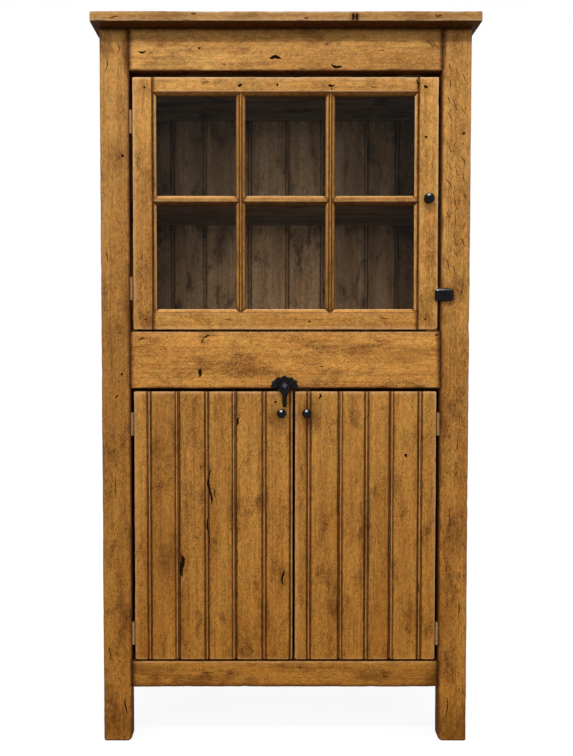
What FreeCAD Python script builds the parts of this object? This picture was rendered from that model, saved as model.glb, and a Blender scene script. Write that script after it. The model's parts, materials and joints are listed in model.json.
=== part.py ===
"""A country jelly cupboard in pine: a glazed door with six panes over a pair of beaded plank doors.

The case is a nailed box. Two side panels, each of two boards, stand on feet cut from their own
ends. A face frame of two posts and three rails is tenoned together and closes the front, beaded
matchboard closes the back, and one overhanging board makes the top. Three inset doors hang on
butt hinges. The glazed door is held by a turn button on the right post, and the plank doors by a
pear-shaped iron latch that hangs from the middle rail.

Units are millimetres. +Z is up, the front faces -Y, and +X is to the right of someone who stands
in front. The origin is on the floor, under the middle of the top board.
"""
import os
from math import asin, cos, degrees, hypot, pi, radians, sin, sqrt

import FreeCAD
import Part

# ---- case
CASE_WIDTH = 974.0
CASE_DEPTH = 420.0  # face of the frame to the back of the case
TOTAL_HEIGHT = 1920.0
TOP_THICKNESS = 25.0
TOP_FRONT_OVERHANG = 40.0
TOP_SIDE_OVERHANG = 17.0
TOP_CORNER_RADIUS = 5.0

# ---- face frame
FRAME_THICKNESS = 28.0
POST_WIDTH = 76.5
TOP_RAIL_HEIGHT = 111.0
MIDDLE_RAIL_HEIGHT = 150.0
BOTTOM_RAIL_HEIGHT = 69.0
BOTTOM_RAIL_Z = 148.0  # lower edge
LOWER_OPENING_HEIGHT = 735.0  # between the bottom and the middle rail
FRAME_TENON_LENGTH = 42.0
FRAME_TENON_THICKNESS = 9.0
FRAME_TENON_SHOULDER = 10.0
FOOT_INNER_RADIUS = 16.0
FOOT_OUTER_RADIUS = 7.0

# ---- sides, back and shelves
SIDE_THICKNESS = 20.0
SIDE_SEAM_DEPTH = 224.0  # from the face of the frame to the joint between a side's two boards
SIDE_FRONT_FOOT = 96.0  # depth of the front foot, post included
SIDE_BACK_FOOT = 90.0
SIDE_ARCH_HEIGHT = 105.0
SIDE_ARCH_RADIUS = 55.0
BACK_THICKNESS = 15.0
BACK_RABBET = 8.0
BACK_SKIRT = 50.0  # how far the back boards reach below the top of the floor board
BACK_BOARD_WIDTHS = (129.0, 103.0, 144.0, 120.0, 112.0, 141.0, 98.0, 103.0)  # eased to fill the back
SHELF_THICKNESS = 18.0
DADO_DEPTH = 8.0
CEILING_RISE = 12.0  # its underside above the lower edge of the top rail
CEILING_THICKNESS = 15.0
UPPER_SHELF_RISE = 363.0  # its underside above the middle shelf
UPPER_SHELF_SETBACK = 125.0  # from the face of the frame
LOWER_SHELF_RISE = 355.0  # its underside above the floor board
LOWER_SHELF_SETBACK = 62.0
SHELF_END_CLEARANCE = 0.5
CLEAT_HEIGHT = 21.0
CLEAT_THICKNESS = 18.0

# ---- tongues, grooves and beads of the matched boards
TONGUE_THICKNESS = 5.0
TONGUE_LENGTH = 6.0
GROOVE_CLEARANCE = 0.15
GROOVE_DEPTH = 7.5
BOARD_GAP = 1.2
BEAD_RADIUS = 3.0
QUIRK_WIDTH = 1.5
EDGE_CHAMFER = 1.6

# ---- doors
DOOR_RECESS = 3.0  # face of a door behind the face of the frame
HINGE_GAP = 8.5
UPPER_LOCK_GAP = 8.0
UPPER_TOP_GAP = 15.0
UPPER_BOTTOM_GAP = 6.0
LOWER_TOP_GAP = 9.0
LOWER_BOTTOM_GAP = 4.0
MEETING_X = 23.5  # middle of the gap between the plank doors
MEETING_GAP = 6.0

# ---- glazed door
SASH_THICKNESS = 24.5
STILE_FACE = 51.5  # flat face of a stile, its moulding not counted
SASH_TOP_FACE = 38.0
SASH_BOTTOM_FACE = 44.5
MOULDING_WIDTH = 9.5
MOULDING_QUIRK = 1.2
MOULDING_DEPTH = 8.5
MOULDING_BULGE = 1.0
GLASS_SEAT = 11.0  # face of the door to the front of the glass
GLASS_THICKNESS = 3.0
GLASS_REBATE = 8.0
GLASS_EDGE_CLEARANCE = 1.0
PUTTY_RIM = 1.0
MUNTIN_FACE = 7.0
MUNTIN_WEB = 8.0  # the strip of a muntin between two panes
LOWER_PANE_HEIGHT = 273.0
PANE_COLUMNS = 3
SASH_TENON_LENGTH = 40.0
SASH_TENON_THICKNESS = 7.0
SASH_TENON_SHOULDER = 5.0
SASH_TENON_SETBACK = 1.0  # behind the seat of the glass
PEG_RADIUS = 3.0
PEG_INSET = 32.0  # from the door's side edge
PEG_LIFT = 26.5  # from the door's top or bottom edge
PIN_FLATS = 8  # of a peg, and of a knob's spigot

# ---- plank doors
PLANK_THICKNESS = 19.0
# width of each plank and place of its middle bead, both from the edge nearer the hinges; the widths
# are eased to fill the door
LEFT_PLANKS = ((117.0, 40.0), (152.0, 76.0), (153.5, 77.0))
RIGHT_PLANKS = ((121.5, 43.0), (136.0, 63.5), (118.0, 81.5))
BATTEN_HEIGHT = 84.0
BATTEN_THICKNESS = 20.0
BATTEN_END_MARGIN = 34.0

# ---- door stops
STOP_THICKNESS = 16.0
STOP_LAP = 20.0  # how far a stop reaches behind its door
STOP_CLEARANCE = 0.5
UPPER_STOP_WIDTH = 60.0
UPPER_STOP_INSET = 72.0  # its centre from the glazed door's free edge
LOWER_STOP_WIDTH = 90.0
LOWER_STOP_HEIGHT = 70.0

# ---- hinges
HINGE_HEIGHT = 58.0
HINGE_LEAF_DEPTH = 22.0
HINGE_LEAF_THICKNESS = 2.0
HINGE_BARREL_RADIUS = 3.9
HINGE_AXIS_INSET = 1.0  # pin's centre behind the face of the frame
HINGE_PIN_RADIUS = 1.6
HINGE_PIN_FLATS = 12
HINGE_RUNNING_CLEARANCE = 0.1
HINGE_KNUCKLE_CLEARANCE = 0.3
HINGE_SWEEP_CLEARANCE = 0.4
# middle of the lower and the upper hinge, from the door's bottom and top edge
UPPER_HINGE_INSETS = (108.0, 117.0)
LOWER_HINGE_INSETS = (73.0, 86.0)

# ---- knobs
UPPER_KNOB_RADIUS = 14.0
UPPER_KNOB_RISE = 343.0  # above the door's bottom edge
UPPER_KNOB_INSET = 26.5  # from the door's free edge
LOWER_KNOB_RADIUS = 12.5
LOWER_KNOB_DROP = 57.0  # below the door's top edge
LOWER_KNOB_INSET = 30.5
KNOB_PROJECTION = 26.0
KNOB_FOOT_SHARE = 0.84  # of the knob's radius
KNOB_WAIST_SHARE = 0.5
KNOB_FOOT_HEIGHT = 4.0
KNOB_WAIST_HEIGHT = 3.5
KNOB_RIM_HEIGHT = 15.0  # above the door, where the dome starts
KNOB_DOME_RINGS = 4
KNOB_FLATS = 20
KNOB_SPIGOT_RADIUS = 4.0
KNOB_SPIGOT_LENGTH = 12.0

# ---- turn button on the right post
BUTTON_LENGTH = 49.0
BUTTON_HEIGHT = 32.0
BUTTON_THICKNESS = 12.0
BUTTON_CHAMFER = 4.5
BUTTON_LAP = 8.5  # how far it covers the door
BUTTON_RISE = 91.5  # above the door's bottom edge
BUTTON_PIVOT_INSET = 14.5  # from the post's inner edge
BUTTON_STANDOFF = 0.4
SCREW_RADIUS = 2.5
SCREW_CLEARANCE = 0.08
SCREW_HEAD_RADIUS = 5.0
SCREW_HEAD_HEIGHT = 2.0
SCREW_BITE = 20.0  # length in the wood

# ---- pear latch on the middle rail
LATCH_OFFSET = 25.5  # pivot left of the doors' meeting line
LATCH_LIFT = 9.0  # pivot above the rail's lower edge
LATCH_PLATE_HALF_WIDTH = 33.0
LATCH_PLATE_RISE = 20.5  # above the pivot
LATCH_PLATE_THICKNESS = 4.0
LATCH_PLATE_PETALS = 7
LATCH_PETAL_TIP = 4.5  # how far a petal's point stands out from the hollows beside it
LATCH_PLATE_MARGIN = 0.5
LATCH_STANDOFF = 0.4
LATCH_THICKNESS = 16.0
LATCH_HEAD_RADIUS = 18.5
LATCH_HEAD_DROP = 4.0  # middle of the head below the pivot
LATCH_NECK_RADIUS = 30.0
LATCH_STEM_WIDTH = 12.0
LATCH_REACH = 59.0  # from the pivot to the end of the stem
LATCH_EDGE_CHAMFER = 4.5
LATCH_NUT_SIZE = 11.0
LATCH_NUT_HEIGHT = 3.5
LATCH_NUT_TURN = 35.0  # degrees

# ---- places that follow from the sizes
FRONT = TOP_FRONT_OVERHANG - (CASE_DEPTH + TOP_FRONT_OVERHANG) / 2  # face of the frame
BACK = FRONT + CASE_DEPTH
FRAME_BACK = FRONT + FRAME_THICKNESS
BACK_FACE = BACK - BACK_THICKNESS  # inner face of the back boards
SIDE_OUTER = CASE_WIDTH / 2
SIDE_INNER = SIDE_OUTER - SIDE_THICKNESS
SIDE_SEAM = FRONT + SIDE_SEAM_DEPTH
OPENING_HALF = SIDE_OUTER - POST_WIDTH
TOP_UNDERSIDE = TOTAL_HEIGHT - TOP_THICKNESS
TOP_RAIL_Z = TOP_UNDERSIDE - TOP_RAIL_HEIGHT
BOTTOM_RAIL_TOP = BOTTOM_RAIL_Z + BOTTOM_RAIL_HEIGHT
MIDDLE_RAIL_Z = BOTTOM_RAIL_TOP + LOWER_OPENING_HEIGHT
MIDDLE_RAIL_TOP = MIDDLE_RAIL_Z + MIDDLE_RAIL_HEIGHT
CEILING_Z = TOP_RAIL_Z + CEILING_RISE
UPPER_SHELF_Z = MIDDLE_RAIL_TOP + UPPER_SHELF_RISE
LOWER_SHELF_Z = BOTTOM_RAIL_TOP + LOWER_SHELF_RISE
BACK_BOTTOM_Z = BOTTOM_RAIL_TOP - BACK_SKIRT
DOOR_FACE = FRONT + DOOR_RECESS
HINGE_X = OPENING_HALF - HINGE_GAP / 2
HINGE_Y = FRONT + HINGE_AXIS_INSET
DOOR_EDGE = OPENING_HALF - HINGE_GAP  # edge of a door at its hinges, either side of the middle
UPPER_LEFT = -DOOR_EDGE
UPPER_RIGHT = OPENING_HALF - UPPER_LOCK_GAP
UPPER_BOTTOM = MIDDLE_RAIL_TOP + UPPER_BOTTOM_GAP
UPPER_TOP = TOP_RAIL_Z - UPPER_TOP_GAP
LOWER_BOTTOM = BOTTOM_RAIL_TOP + LOWER_BOTTOM_GAP
LOWER_TOP = MIDDLE_RAIL_Z - LOWER_TOP_GAP
SIGHT_LEFT = UPPER_LEFT + STILE_FACE + MOULDING_WIDTH
SIGHT_RIGHT = UPPER_RIGHT - STILE_FACE - MOULDING_WIDTH
SIGHT_BOTTOM = UPPER_BOTTOM + SASH_BOTTOM_FACE + MOULDING_WIDTH
SIGHT_TOP = UPPER_TOP - SASH_TOP_FACE - MOULDING_WIDTH
MUNTIN_WIDTH = MUNTIN_FACE + 2 * MOULDING_WIDTH
PANE_WIDTH = (SIGHT_RIGHT - SIGHT_LEFT - (PANE_COLUMNS - 1) * MUNTIN_WIDTH) / PANE_COLUMNS
CROSS_MUNTIN_Z = SIGHT_BOTTOM + LOWER_PANE_HEIGHT + MUNTIN_WIDTH / 2
UPPER_HINGE_Z = (UPPER_BOTTOM + UPPER_HINGE_INSETS[0], UPPER_TOP - UPPER_HINGE_INSETS[1])
LOWER_HINGE_Z = (LOWER_BOTTOM + LOWER_HINGE_INSETS[0], LOWER_TOP - LOWER_HINGE_INSETS[1])
UPPER_KNOB_Z = UPPER_BOTTOM + UPPER_KNOB_RISE
LOWER_KNOB_Z = LOWER_TOP - LOWER_KNOB_DROP
LATCH_X = MEETING_X - LATCH_OFFSET
LATCH_Z = MIDDLE_RAIL_Z + LATCH_LIFT
LATCH_BACK = FRONT - LATCH_PLATE_THICKNESS - LATCH_STANDOFF
BUTTON_PIVOT_X = OPENING_HALF + BUTTON_PIVOT_INSET
BUTTON_Z = UPPER_BOTTOM + BUTTON_RISE


# ---- drawing helpers
def block(x, y, z):
    """A box between two ends on each axis, in either order."""
    low = FreeCAD.Vector(min(x), min(y), min(z))
    return Part.makeBox(max(x) - low.x, max(y) - low.y, max(z) - low.z, low)


def face(place, start, moves):
    """A flat face. A move is a point to draw a line to, or (through, end) to draw an arc to.

    place turns a flat point into a point in space.
    """
    edges = []
    here = place(*start)
    for move in moves:
        if isinstance(move[0], tuple):
            through, end = (place(*point) for point in move)
            edges.append(Part.Arc(here, through, end).toShape())
        else:
            end = place(*move)
            edges.append(Part.makeLine(here, end))
        here = end
    edges.append(Part.makeLine(here, place(*start)))
    return Part.Face(Part.Wire(edges))


def in_plan(z, flip=1.0):
    """Flat points (x, y) at height z; flip -1 mirrors them across the middle of the case."""
    return lambda x, y: FreeCAD.Vector(flip * x, y, z)


def in_front_view(y):
    """Flat points (x, z) on the plane at y."""
    return lambda x, z: FreeCAD.Vector(x, y, z)


def in_side_view(x):
    """Flat points (y, z) on the plane at x."""
    return lambda y, z: FreeCAD.Vector(x, y, z)


def quarter(centre, radius, first, last):
    """The (through, end) of an arc about centre, from the angle first to last, in degrees."""
    middle, end = radians((first + last) / 2), radians(last)
    return tuple(
        (centre[0] + radius * cos(turn), centre[1] + radius * sin(turn)) for turn in (middle, end)
    )


def rod(radius, start, length, direction):
    """A cylinder."""
    return Part.makeCylinder(radius, length, FreeCAD.Vector(*start), FreeCAD.Vector(*direction))


def flat_sided(rings, sides):
    """A closed solid with flat facets from one ring of corners to the next, and a flat at each end.

    A ring is (place, radius), where place turns (across, up) from the ring's centre into space.
    """
    corners = [
        [
            place(radius * cos(2 * pi * (n + 0.5) / sides), radius * sin(2 * pi * (n + 0.5) / sides))
            for n in range(sides)
        ]
        for place, radius in rings
    ]
    faces = [Part.Face(Part.makePolygon(ring + ring[:1])) for ring in (corners[0], corners[-1])]
    for lower, upper in zip(corners, corners[1:]):
        for n in range(sides):
            m = (n + 1) % sides
            faces.append(Part.Face(Part.makePolygon([lower[n], lower[m], upper[m], upper[n], lower[n]])))
    solid = Part.makeSolid(Part.makeShell(faces))
    return solid if solid.Volume > 0 else solid.reversed()


def save(node, *solids):
    """Writes one node's STEP file."""
    shape = solids[0] if len(solids) == 1 else Part.makeCompound(list(solids))
    shape.exportStep(f"parts/{node}.step")


def up(height):
    return FreeCAD.Vector(0, 0, height)


def eased(sizes, total):
    """The sizes, all changed by one factor so that together they fill total."""
    factor = total / sum(sizes)
    return [size * factor for size in sizes]


# ---- face frame
def post(side):
    """A front post, which runs down into a foot with eased lower corners."""
    outer, inner = side * SIDE_OUTER, side * OPENING_HALF
    outer_turn, inner_turn = (180, 270) if side < 0 else (0, -90), (-90, 0) if side < 0 else (-90, -180)
    outer_centre = (outer - side * FOOT_OUTER_RADIUS, FOOT_OUTER_RADIUS)
    inner_centre = (inner + side * FOOT_INNER_RADIUS, FOOT_INNER_RADIUS)
    outline = face(
        in_front_view(FRONT),
        (outer, TOP_UNDERSIDE),
        [
            (outer, FOOT_OUTER_RADIUS),
            quarter(outer_centre, FOOT_OUTER_RADIUS, *outer_turn),
            (inner_centre[0], 0.0),
            quarter(inner_centre, FOOT_INNER_RADIUS, *inner_turn),
            (inner, TOP_UNDERSIDE),
        ],
    )
    shape = outline.extrude(FreeCAD.Vector(0, FRAME_THICKNESS, 0))
    for low, height in RAILS.values():
        shape = shape.cut(frame_tenon(side, low, height))
    return shape


def frame_tenon(side, low, height):
    """The tenon at one end of a rail, which is also its mortise in the post."""
    middle = FRONT + FRAME_THICKNESS / 2
    return block(
        (side * OPENING_HALF, side * (OPENING_HALF + FRAME_TENON_LENGTH)),
        (middle - FRAME_TENON_THICKNESS / 2, middle + FRAME_TENON_THICKNESS / 2),
        (low + FRAME_TENON_SHOULDER, low + height - FRAME_TENON_SHOULDER),
    )


def rail(low, height):
    """A rail of the face frame, with a tenon at each end."""
    shape = block((-OPENING_HALF, OPENING_HALF), (FRONT, FRAME_BACK), (low, low + height))
    for side in (-1, 1):
        shape = shape.fuse(frame_tenon(side, low, height))
    return shape.removeSplitter()


RAILS = {
    "top_rail": (TOP_RAIL_Z, TOP_RAIL_HEIGHT),
    "middle_rail": (MIDDLE_RAIL_Z, MIDDLE_RAIL_HEIGHT),
    "bottom_rail": (BOTTOM_RAIL_Z, BOTTOM_RAIL_HEIGHT),
}


# ---- top, sides and back
def top_board():
    """The overhanging top, with its two front corners eased in plan."""
    half = SIDE_OUTER + TOP_SIDE_OVERHANG
    front, r = FRONT - TOP_FRONT_OVERHANG, TOP_CORNER_RADIUS
    outline = face(
        in_plan(TOP_UNDERSIDE),
        (-half, BACK),
        [
            (-half, front + r),
            quarter((-half + r, front + r), r, 180, 270),
            (half - r, front),
            quarter((half - r, front + r), r, 270, 360),
            (half, BACK),
        ],
    )
    return outline.extrude(up(TOP_THICKNESS))


def side_boards(side):
    """The front and back board of one side panel, matched together, with the foot arch cut out."""
    inner, outer = side * SIDE_INNER, side * SIDE_OUTER
    tongue_centre = side * (SIDE_INNER + SIDE_THICKNESS / 2)
    tongue = TONGUE_THICKNESS / 2
    groove = tongue + GROOVE_CLEARANCE
    front = block((inner, outer), (FRAME_BACK, SIDE_SEAM), (0, TOP_UNDERSIDE))
    front = front.fuse(
        block(
            (tongue_centre - tongue, tongue_centre + tongue),
            (SIDE_SEAM, SIDE_SEAM + TONGUE_LENGTH),
            (0, TOP_UNDERSIDE),
        )
    )
    back = block((inner, outer), (SIDE_SEAM, BACK), (0, TOP_UNDERSIDE))
    back = back.cut(
        block(
            (tongue_centre - groove, tongue_centre + groove),
            (SIDE_SEAM, SIDE_SEAM + GROOVE_DEPTH),
            (0, TOP_UNDERSIDE),
        )
    )
    rabbet = block(
        (inner, side * (SIDE_INNER + BACK_RABBET)), (BACK_FACE, BACK), (BACK_BOTTOM_Z, TOP_UNDERSIDE)
    )
    arch = foot_arch(inner, outer)
    boards = [front.cut(arch), back.cut(arch).cut(rabbet)]
    for shelf in (middle_shelf(), floor_board()):
        boards = [board.cut(shelf) for board in boards]
    return [board.removeSplitter() for board in boards]


def foot_arch(inner, outer):
    """The round-cornered opening between the two feet of a side."""
    first, last = FRONT + SIDE_FRONT_FOOT, BACK - SIDE_BACK_FOOT
    height, r = SIDE_ARCH_HEIGHT, SIDE_ARCH_RADIUS
    outline = face(
        in_side_view(min(inner, outer)),
        (first, 0.0),
        [
            (first, height - r),
            quarter((first + r, height - r), r, 180, 90),
            (last - r, height),
            quarter((last - r, height - r), r, 90, 0),
            (last, 0.0),
        ],
    )
    return outline.extrude(FreeCAD.Vector(SIDE_THICKNESS, 0, 0))


def matchboard(left, width, show_face, into, thickness, beads, low, high, groove, tongue, flip=1.0):
    """A matched board, drawn from its left edge: beads are the places of bead centres from there.

    into is +1 where the board lies behind its show face and -1 where it lies in front.
    flip -1 mirrors the board across the middle of the case.
    """

    def place(s, d):
        return FreeCAD.Vector(flip * (left + s), show_face + into * d, low)

    r, q = BEAD_RADIUS, QUIRK_WIDTH
    moves = [(EDGE_CHAMFER, 0.0)]
    for centre in beads:
        moves += [(centre - r - q, 0.0), (centre - r, r), ((centre, 0.0), (centre + r, r))]
        if centre + r < width:
            moves.append((centre + r + q, 0.0))
    if not beads or beads[-1] + r < width:
        moves += [(width - EDGE_CHAMFER, 0.0), (width, EDGE_CHAMFER)]
    middle, half = thickness / 2, TONGUE_THICKNESS / 2
    if tongue:
        moves += [
            (width, middle - half),
            (width + TONGUE_LENGTH, middle - half),
            (width + TONGUE_LENGTH, middle + half),
            (width, middle + half),
        ]
    moves += [(width, thickness), (0.0, thickness)]
    if groove:
        half += GROOVE_CLEARANCE
        depth = GROOVE_DEPTH
        moves += [(0.0, middle + half), (depth, middle + half), (depth, middle - half), (0.0, middle - half)]
    return face(place, (0.0, EDGE_CHAMFER), moves).extrude(up(high - low))


def back_boards():
    """The beaded boards of the back, beads inwards, between the rabbets of the sides."""
    start = -(SIDE_INNER + BACK_RABBET)
    widths = eased(BACK_BOARD_WIDTHS, -2 * start)
    boards = []
    for index, width in enumerate(widths):
        first, last = index == 0, index == len(widths) - 1
        clear = width if last else width - BOARD_GAP
        edge_bead = [] if last else [clear - BEAD_RADIUS]
        boards.append(
            matchboard(
                start, clear, BACK_FACE, 1, BACK_THICKNESS, edge_bead, BACK_BOTTOM_Z, TOP_UNDERSIDE,
                groove=not first, tongue=not last,
            )
        )
        start += width
    return boards


# ---- shelves and what carries them
def housed_board(top):
    """A shelf whose ends are let into the sides."""
    half = SIDE_INNER + DADO_DEPTH
    return block((-half, half), (FRAME_BACK, BACK_FACE), (top - SHELF_THICKNESS, top))


def middle_shelf():
    return housed_board(MIDDLE_RAIL_TOP)


def floor_board():
    return housed_board(BOTTOM_RAIL_TOP)


def loose_board(underside, setback, thickness):
    """A board that lies on cleats between the sides."""
    half = SIDE_INNER - SHELF_END_CLEARANCE
    return block((-half, half), (FRONT + setback, BACK_FACE), (underside, underside + thickness))


def cleats(underside, setback):
    """The strips under a loose board: one along the back and one along each side."""
    z = (underside - CLEAT_HEIGHT, underside)
    half = SIDE_INNER - CLEAT_THICKNESS
    strips = [block((-half, half), (BACK_FACE - CLEAT_THICKNESS, BACK_FACE), z)]
    for side in (-1, 1):
        strips.append(block((side * half, side * SIDE_INNER), (FRONT + setback, BACK_FACE), z))
    return strips


def upper_door_stop():
    """A block behind the top rail that the glazed door closes against."""
    centre, half = UPPER_RIGHT - UPPER_STOP_INSET, UPPER_STOP_WIDTH / 2
    return block(
        (centre - half, centre + half),
        (FRAME_BACK, FRAME_BACK + STOP_THICKNESS),
        (UPPER_TOP - STOP_LAP, CEILING_Z),
    )


def lower_door_stop():
    """A rebated block behind the middle rail that both plank doors close against."""
    x = (MEETING_X - LOWER_STOP_WIDTH / 2, MEETING_X + LOWER_STOP_WIDTH / 2)
    low = LOWER_TOP - STOP_LAP
    behind = block(x, (FRAME_BACK, FRAME_BACK + STOP_THICKNESS), (low, low + LOWER_STOP_HEIGHT))
    planks = DOOR_FACE + PLANK_THICKNESS + STOP_CLEARANCE
    lip = block(x, (planks, FRAME_BACK), (low, MIDDLE_RAIL_Z))
    return behind.fuse(lip).removeSplitter()


# ---- glazed door
def sash_moulding(edge, inward):
    """The outline moves from the flat face, over the moulding, to the glass rebate of one edge.

    edge is where the flat face ends, and inward is +1 or -1 towards the glass.
    """
    quirk, sight = MOULDING_QUIRK, edge + inward * MOULDING_WIDTH
    middle = (edge + inward * MOULDING_WIDTH / 2, (quirk + MOULDING_DEPTH) / 2 - MOULDING_BULGE)
    return [(edge, quirk), (middle, (sight, MOULDING_DEPTH)), (sight, GLASS_SEAT)]


def sash_bar(place, outer, edge, inward):
    """The section of a stile or rail, from its outer edge to the glass."""
    wall = edge + inward * (MOULDING_WIDTH - GLASS_REBATE)
    moves = [(edge, 0.0)] + sash_moulding(edge, inward)
    moves += [(wall, GLASS_SEAT), (wall, SASH_THICKNESS), (outer, SASH_THICKNESS)]
    return face(place, (outer, 0.0), moves)


def muntin_section(place, centre):
    """The section of a muntin: a moulding each way, and a web between the panes."""
    half, web = MUNTIN_FACE / 2, MUNTIN_WEB / 2
    right = [(centre + half, 0.0)] + sash_moulding(centre + half, 1)
    left = sash_moulding(centre - half, -1)
    up_the_left = [left[2], left[1][1], (left[1][0], left[0])]
    moves = right + [
        (centre + web, GLASS_SEAT),
        (centre + web, SASH_THICKNESS),
        (centre - web, SASH_THICKNESS),
        (centre - web, GLASS_SEAT),
    ]
    return face(place, (centre - half, 0.0), moves + up_the_left)


def upright_section(low):
    """Sections that run up the door: flat points are (x, depth behind the door's face)."""
    return lambda x, depth: FreeCAD.Vector(x, DOOR_FACE + depth, low)


def level_section(left):
    """Sections that run across the door: flat points are (z, depth behind the door's face)."""
    return lambda z, depth: FreeCAD.Vector(left, DOOR_FACE + depth, z)


def sash_tenon(side, low, high):
    """The tenon of a sash rail, which is also its mortise in the stile."""
    edge = UPPER_LEFT + STILE_FACE if side < 0 else UPPER_RIGHT - STILE_FACE
    shoulder = edge - side * (MOULDING_WIDTH - GLASS_REBATE)
    depth = DOOR_FACE + GLASS_SEAT + SASH_TENON_SETBACK
    return block(
        (shoulder, edge + side * SASH_TENON_LENGTH), (depth, depth + SASH_TENON_THICKNESS), (low, high)
    )


def sash_tenon_heights():
    """Lowest and highest point of the bottom and the top rail's tenons."""
    shoulder = SASH_TENON_SHOULDER
    return (
        (UPPER_BOTTOM + shoulder, UPPER_BOTTOM + SASH_BOTTOM_FACE - shoulder),
        (UPPER_TOP - SASH_TOP_FACE + shoulder, UPPER_TOP - shoulder),
    )


def peg_places():
    """Centres of the pegs at the four corners of the glazed door."""
    return [
        (x, z)
        for x in (UPPER_LEFT + PEG_INSET, UPPER_RIGHT - PEG_INSET)
        for z in (UPPER_BOTTOM + PEG_LIFT, UPPER_TOP - PEG_LIFT)
    ]


def flat_pin(radius, x, z, length):
    """An eight-sided pin that runs straight back from the face of a door."""

    def level(depth):
        return lambda across, height: FreeCAD.Vector(x + across, DOOR_FACE + depth, z + height)

    return flat_sided([(level(length), radius), (level(0.0), radius)], PIN_FLATS)


def pegs():
    """The whittled pegs, each through a stile and the tenon in it."""
    return [flat_pin(PEG_RADIUS, x, z, SASH_THICKNESS) for x, z in peg_places()]


def drill(shape, tools):
    for tool in tools:
        shape = shape.cut(tool)
    return shape


def sash_stile(side):
    """A stile, moulded and rebated on its inner edge, with two mortises and its peg holes."""
    outer = UPPER_LEFT if side < 0 else UPPER_RIGHT
    edge = outer - side * STILE_FACE
    outline = sash_bar(upright_section(UPPER_BOTTOM), outer, edge, -side)
    shape = outline.extrude(up(UPPER_TOP - UPPER_BOTTOM))
    mortises = [sash_tenon(side, low, high) for low, high in sash_tenon_heights()]
    return drill(shape, mortises + pegs())


def sash_rail(outer, edge, inward, heights):
    """A rail between the stiles, scribed over their mouldings, with a tenon at each end."""
    left, right = UPPER_LEFT + STILE_FACE, UPPER_RIGHT - STILE_FACE
    outline = sash_bar(level_section(left), outer, edge, inward)
    shape = outline.extrude(FreeCAD.Vector(right - left, 0, 0))
    for side in (-1, 1):
        stile_edge = UPPER_LEFT if side < 0 else UPPER_RIGHT
        stile = sash_bar(
            upright_section(UPPER_BOTTOM), stile_edge, stile_edge - side * STILE_FACE, -side
        )
        shape = shape.cut(stile.extrude(up(UPPER_TOP - UPPER_BOTTOM)))
        shape = shape.fuse(sash_tenon(side, *heights))
    return drill(shape.removeSplitter(), pegs())


def muntin_centres():
    """The x of each upright muntin's centre."""
    pitch = PANE_WIDTH + MUNTIN_WIDTH
    return [SIGHT_LEFT + n * pitch - MUNTIN_WIDTH / 2 for n in range(1, PANE_COLUMNS)]


def upright_muntin(centre, rails):
    """A muntin from rail to rail, scribed over their mouldings."""
    low, high = SIGHT_BOTTOM - MOULDING_WIDTH, SIGHT_TOP + MOULDING_WIDTH
    shape = muntin_section(upright_section(low), centre).extrude(up(high - low))
    return drill(shape, rails)


def cross_muntin(left, right, neighbours):
    """A short muntin between two uprights, scribed over their mouldings."""
    left, right = left - MOULDING_WIDTH, right + MOULDING_WIDTH
    outline = muntin_section(level_section(left), CROSS_MUNTIN_Z)
    return drill(outline.extrude(FreeCAD.Vector(right - left, 0, 0)), neighbours)


def pane_columns():
    """The left and right sight line of each column of panes."""
    pitch = PANE_WIDTH + MUNTIN_WIDTH
    return [(SIGHT_LEFT + n * pitch, SIGHT_LEFT + n * pitch + PANE_WIDTH) for n in range(PANE_COLUMNS)]


def pane_rows():
    """The lower and upper sight line of each row of panes."""
    half = MUNTIN_WIDTH / 2
    return [(SIGHT_BOTTOM, CROSS_MUNTIN_Z - half), (CROSS_MUNTIN_Z + half, SIGHT_TOP)]


def glass_pane(column, row):
    """A pane, which laps the rebate all round."""
    lap = GLASS_REBATE - GLASS_EDGE_CLEARANCE
    front = DOOR_FACE + GLASS_SEAT
    return block(
        (column[0] - lap, column[1] + lap),
        (front, front + GLASS_THICKNESS),
        (row[0] - lap, row[1] + lap),
    )


def putty(column, row):
    """The sloping putty behind one pane, from its sight line back to the wall of the rebate."""
    front, back = DOOR_FACE + GLASS_SEAT + GLASS_THICKNESS, DOOR_FACE + SASH_THICKNESS

    def ring(grow, y):
        corners = [
            (column[0] - grow, row[0] - grow),
            (column[1] + grow, row[0] - grow),
            (column[1] + grow, row[1] + grow),
            (column[0] - grow, row[1] + grow),
        ]
        return Part.makePolygon([FreeCAD.Vector(x, y, z) for x, z in corners + corners[:1]])

    lap = GLASS_REBATE
    rim = PUTTY_RIM
    outer = Part.Face(ring(lap, front)).extrude(FreeCAD.Vector(0, back - front - rim, 0))
    slope = Part.makeLoft([ring(0.0, front), ring(lap - rim, back - rim)], True, True)
    return outer.cut(slope)


# ---- plank doors
def plank_door(flip, pattern, low, high, edge_bead):
    """The planks of a door, from the hinges to the meeting edge.

    flip +1 hangs the door on the left and -1 on the right. edge_bead says whether the plank at the
    meeting edge keeps the bead on that edge.
    """
    start = -DOOR_EDGE
    end = flip * MEETING_X - MEETING_GAP / 2
    widths = eased([width for width, bead in pattern], end - start)
    planks = []
    for index, (width, (drawn_width, bead)) in enumerate(zip(widths, pattern)):
        last = index == len(widths) - 1
        clear = width if last else width - BOARD_GAP
        centres = [bead * width / drawn_width]
        if edge_bead or not last:
            centres.append(clear - BEAD_RADIUS)
        planks.append(
            matchboard(
                start, clear, DOOR_FACE, 1, PLANK_THICKNESS, centres, low, high,
                groove=index > 0, tongue=not last, flip=flip,
            )
        )
        start += width
    return planks


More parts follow.
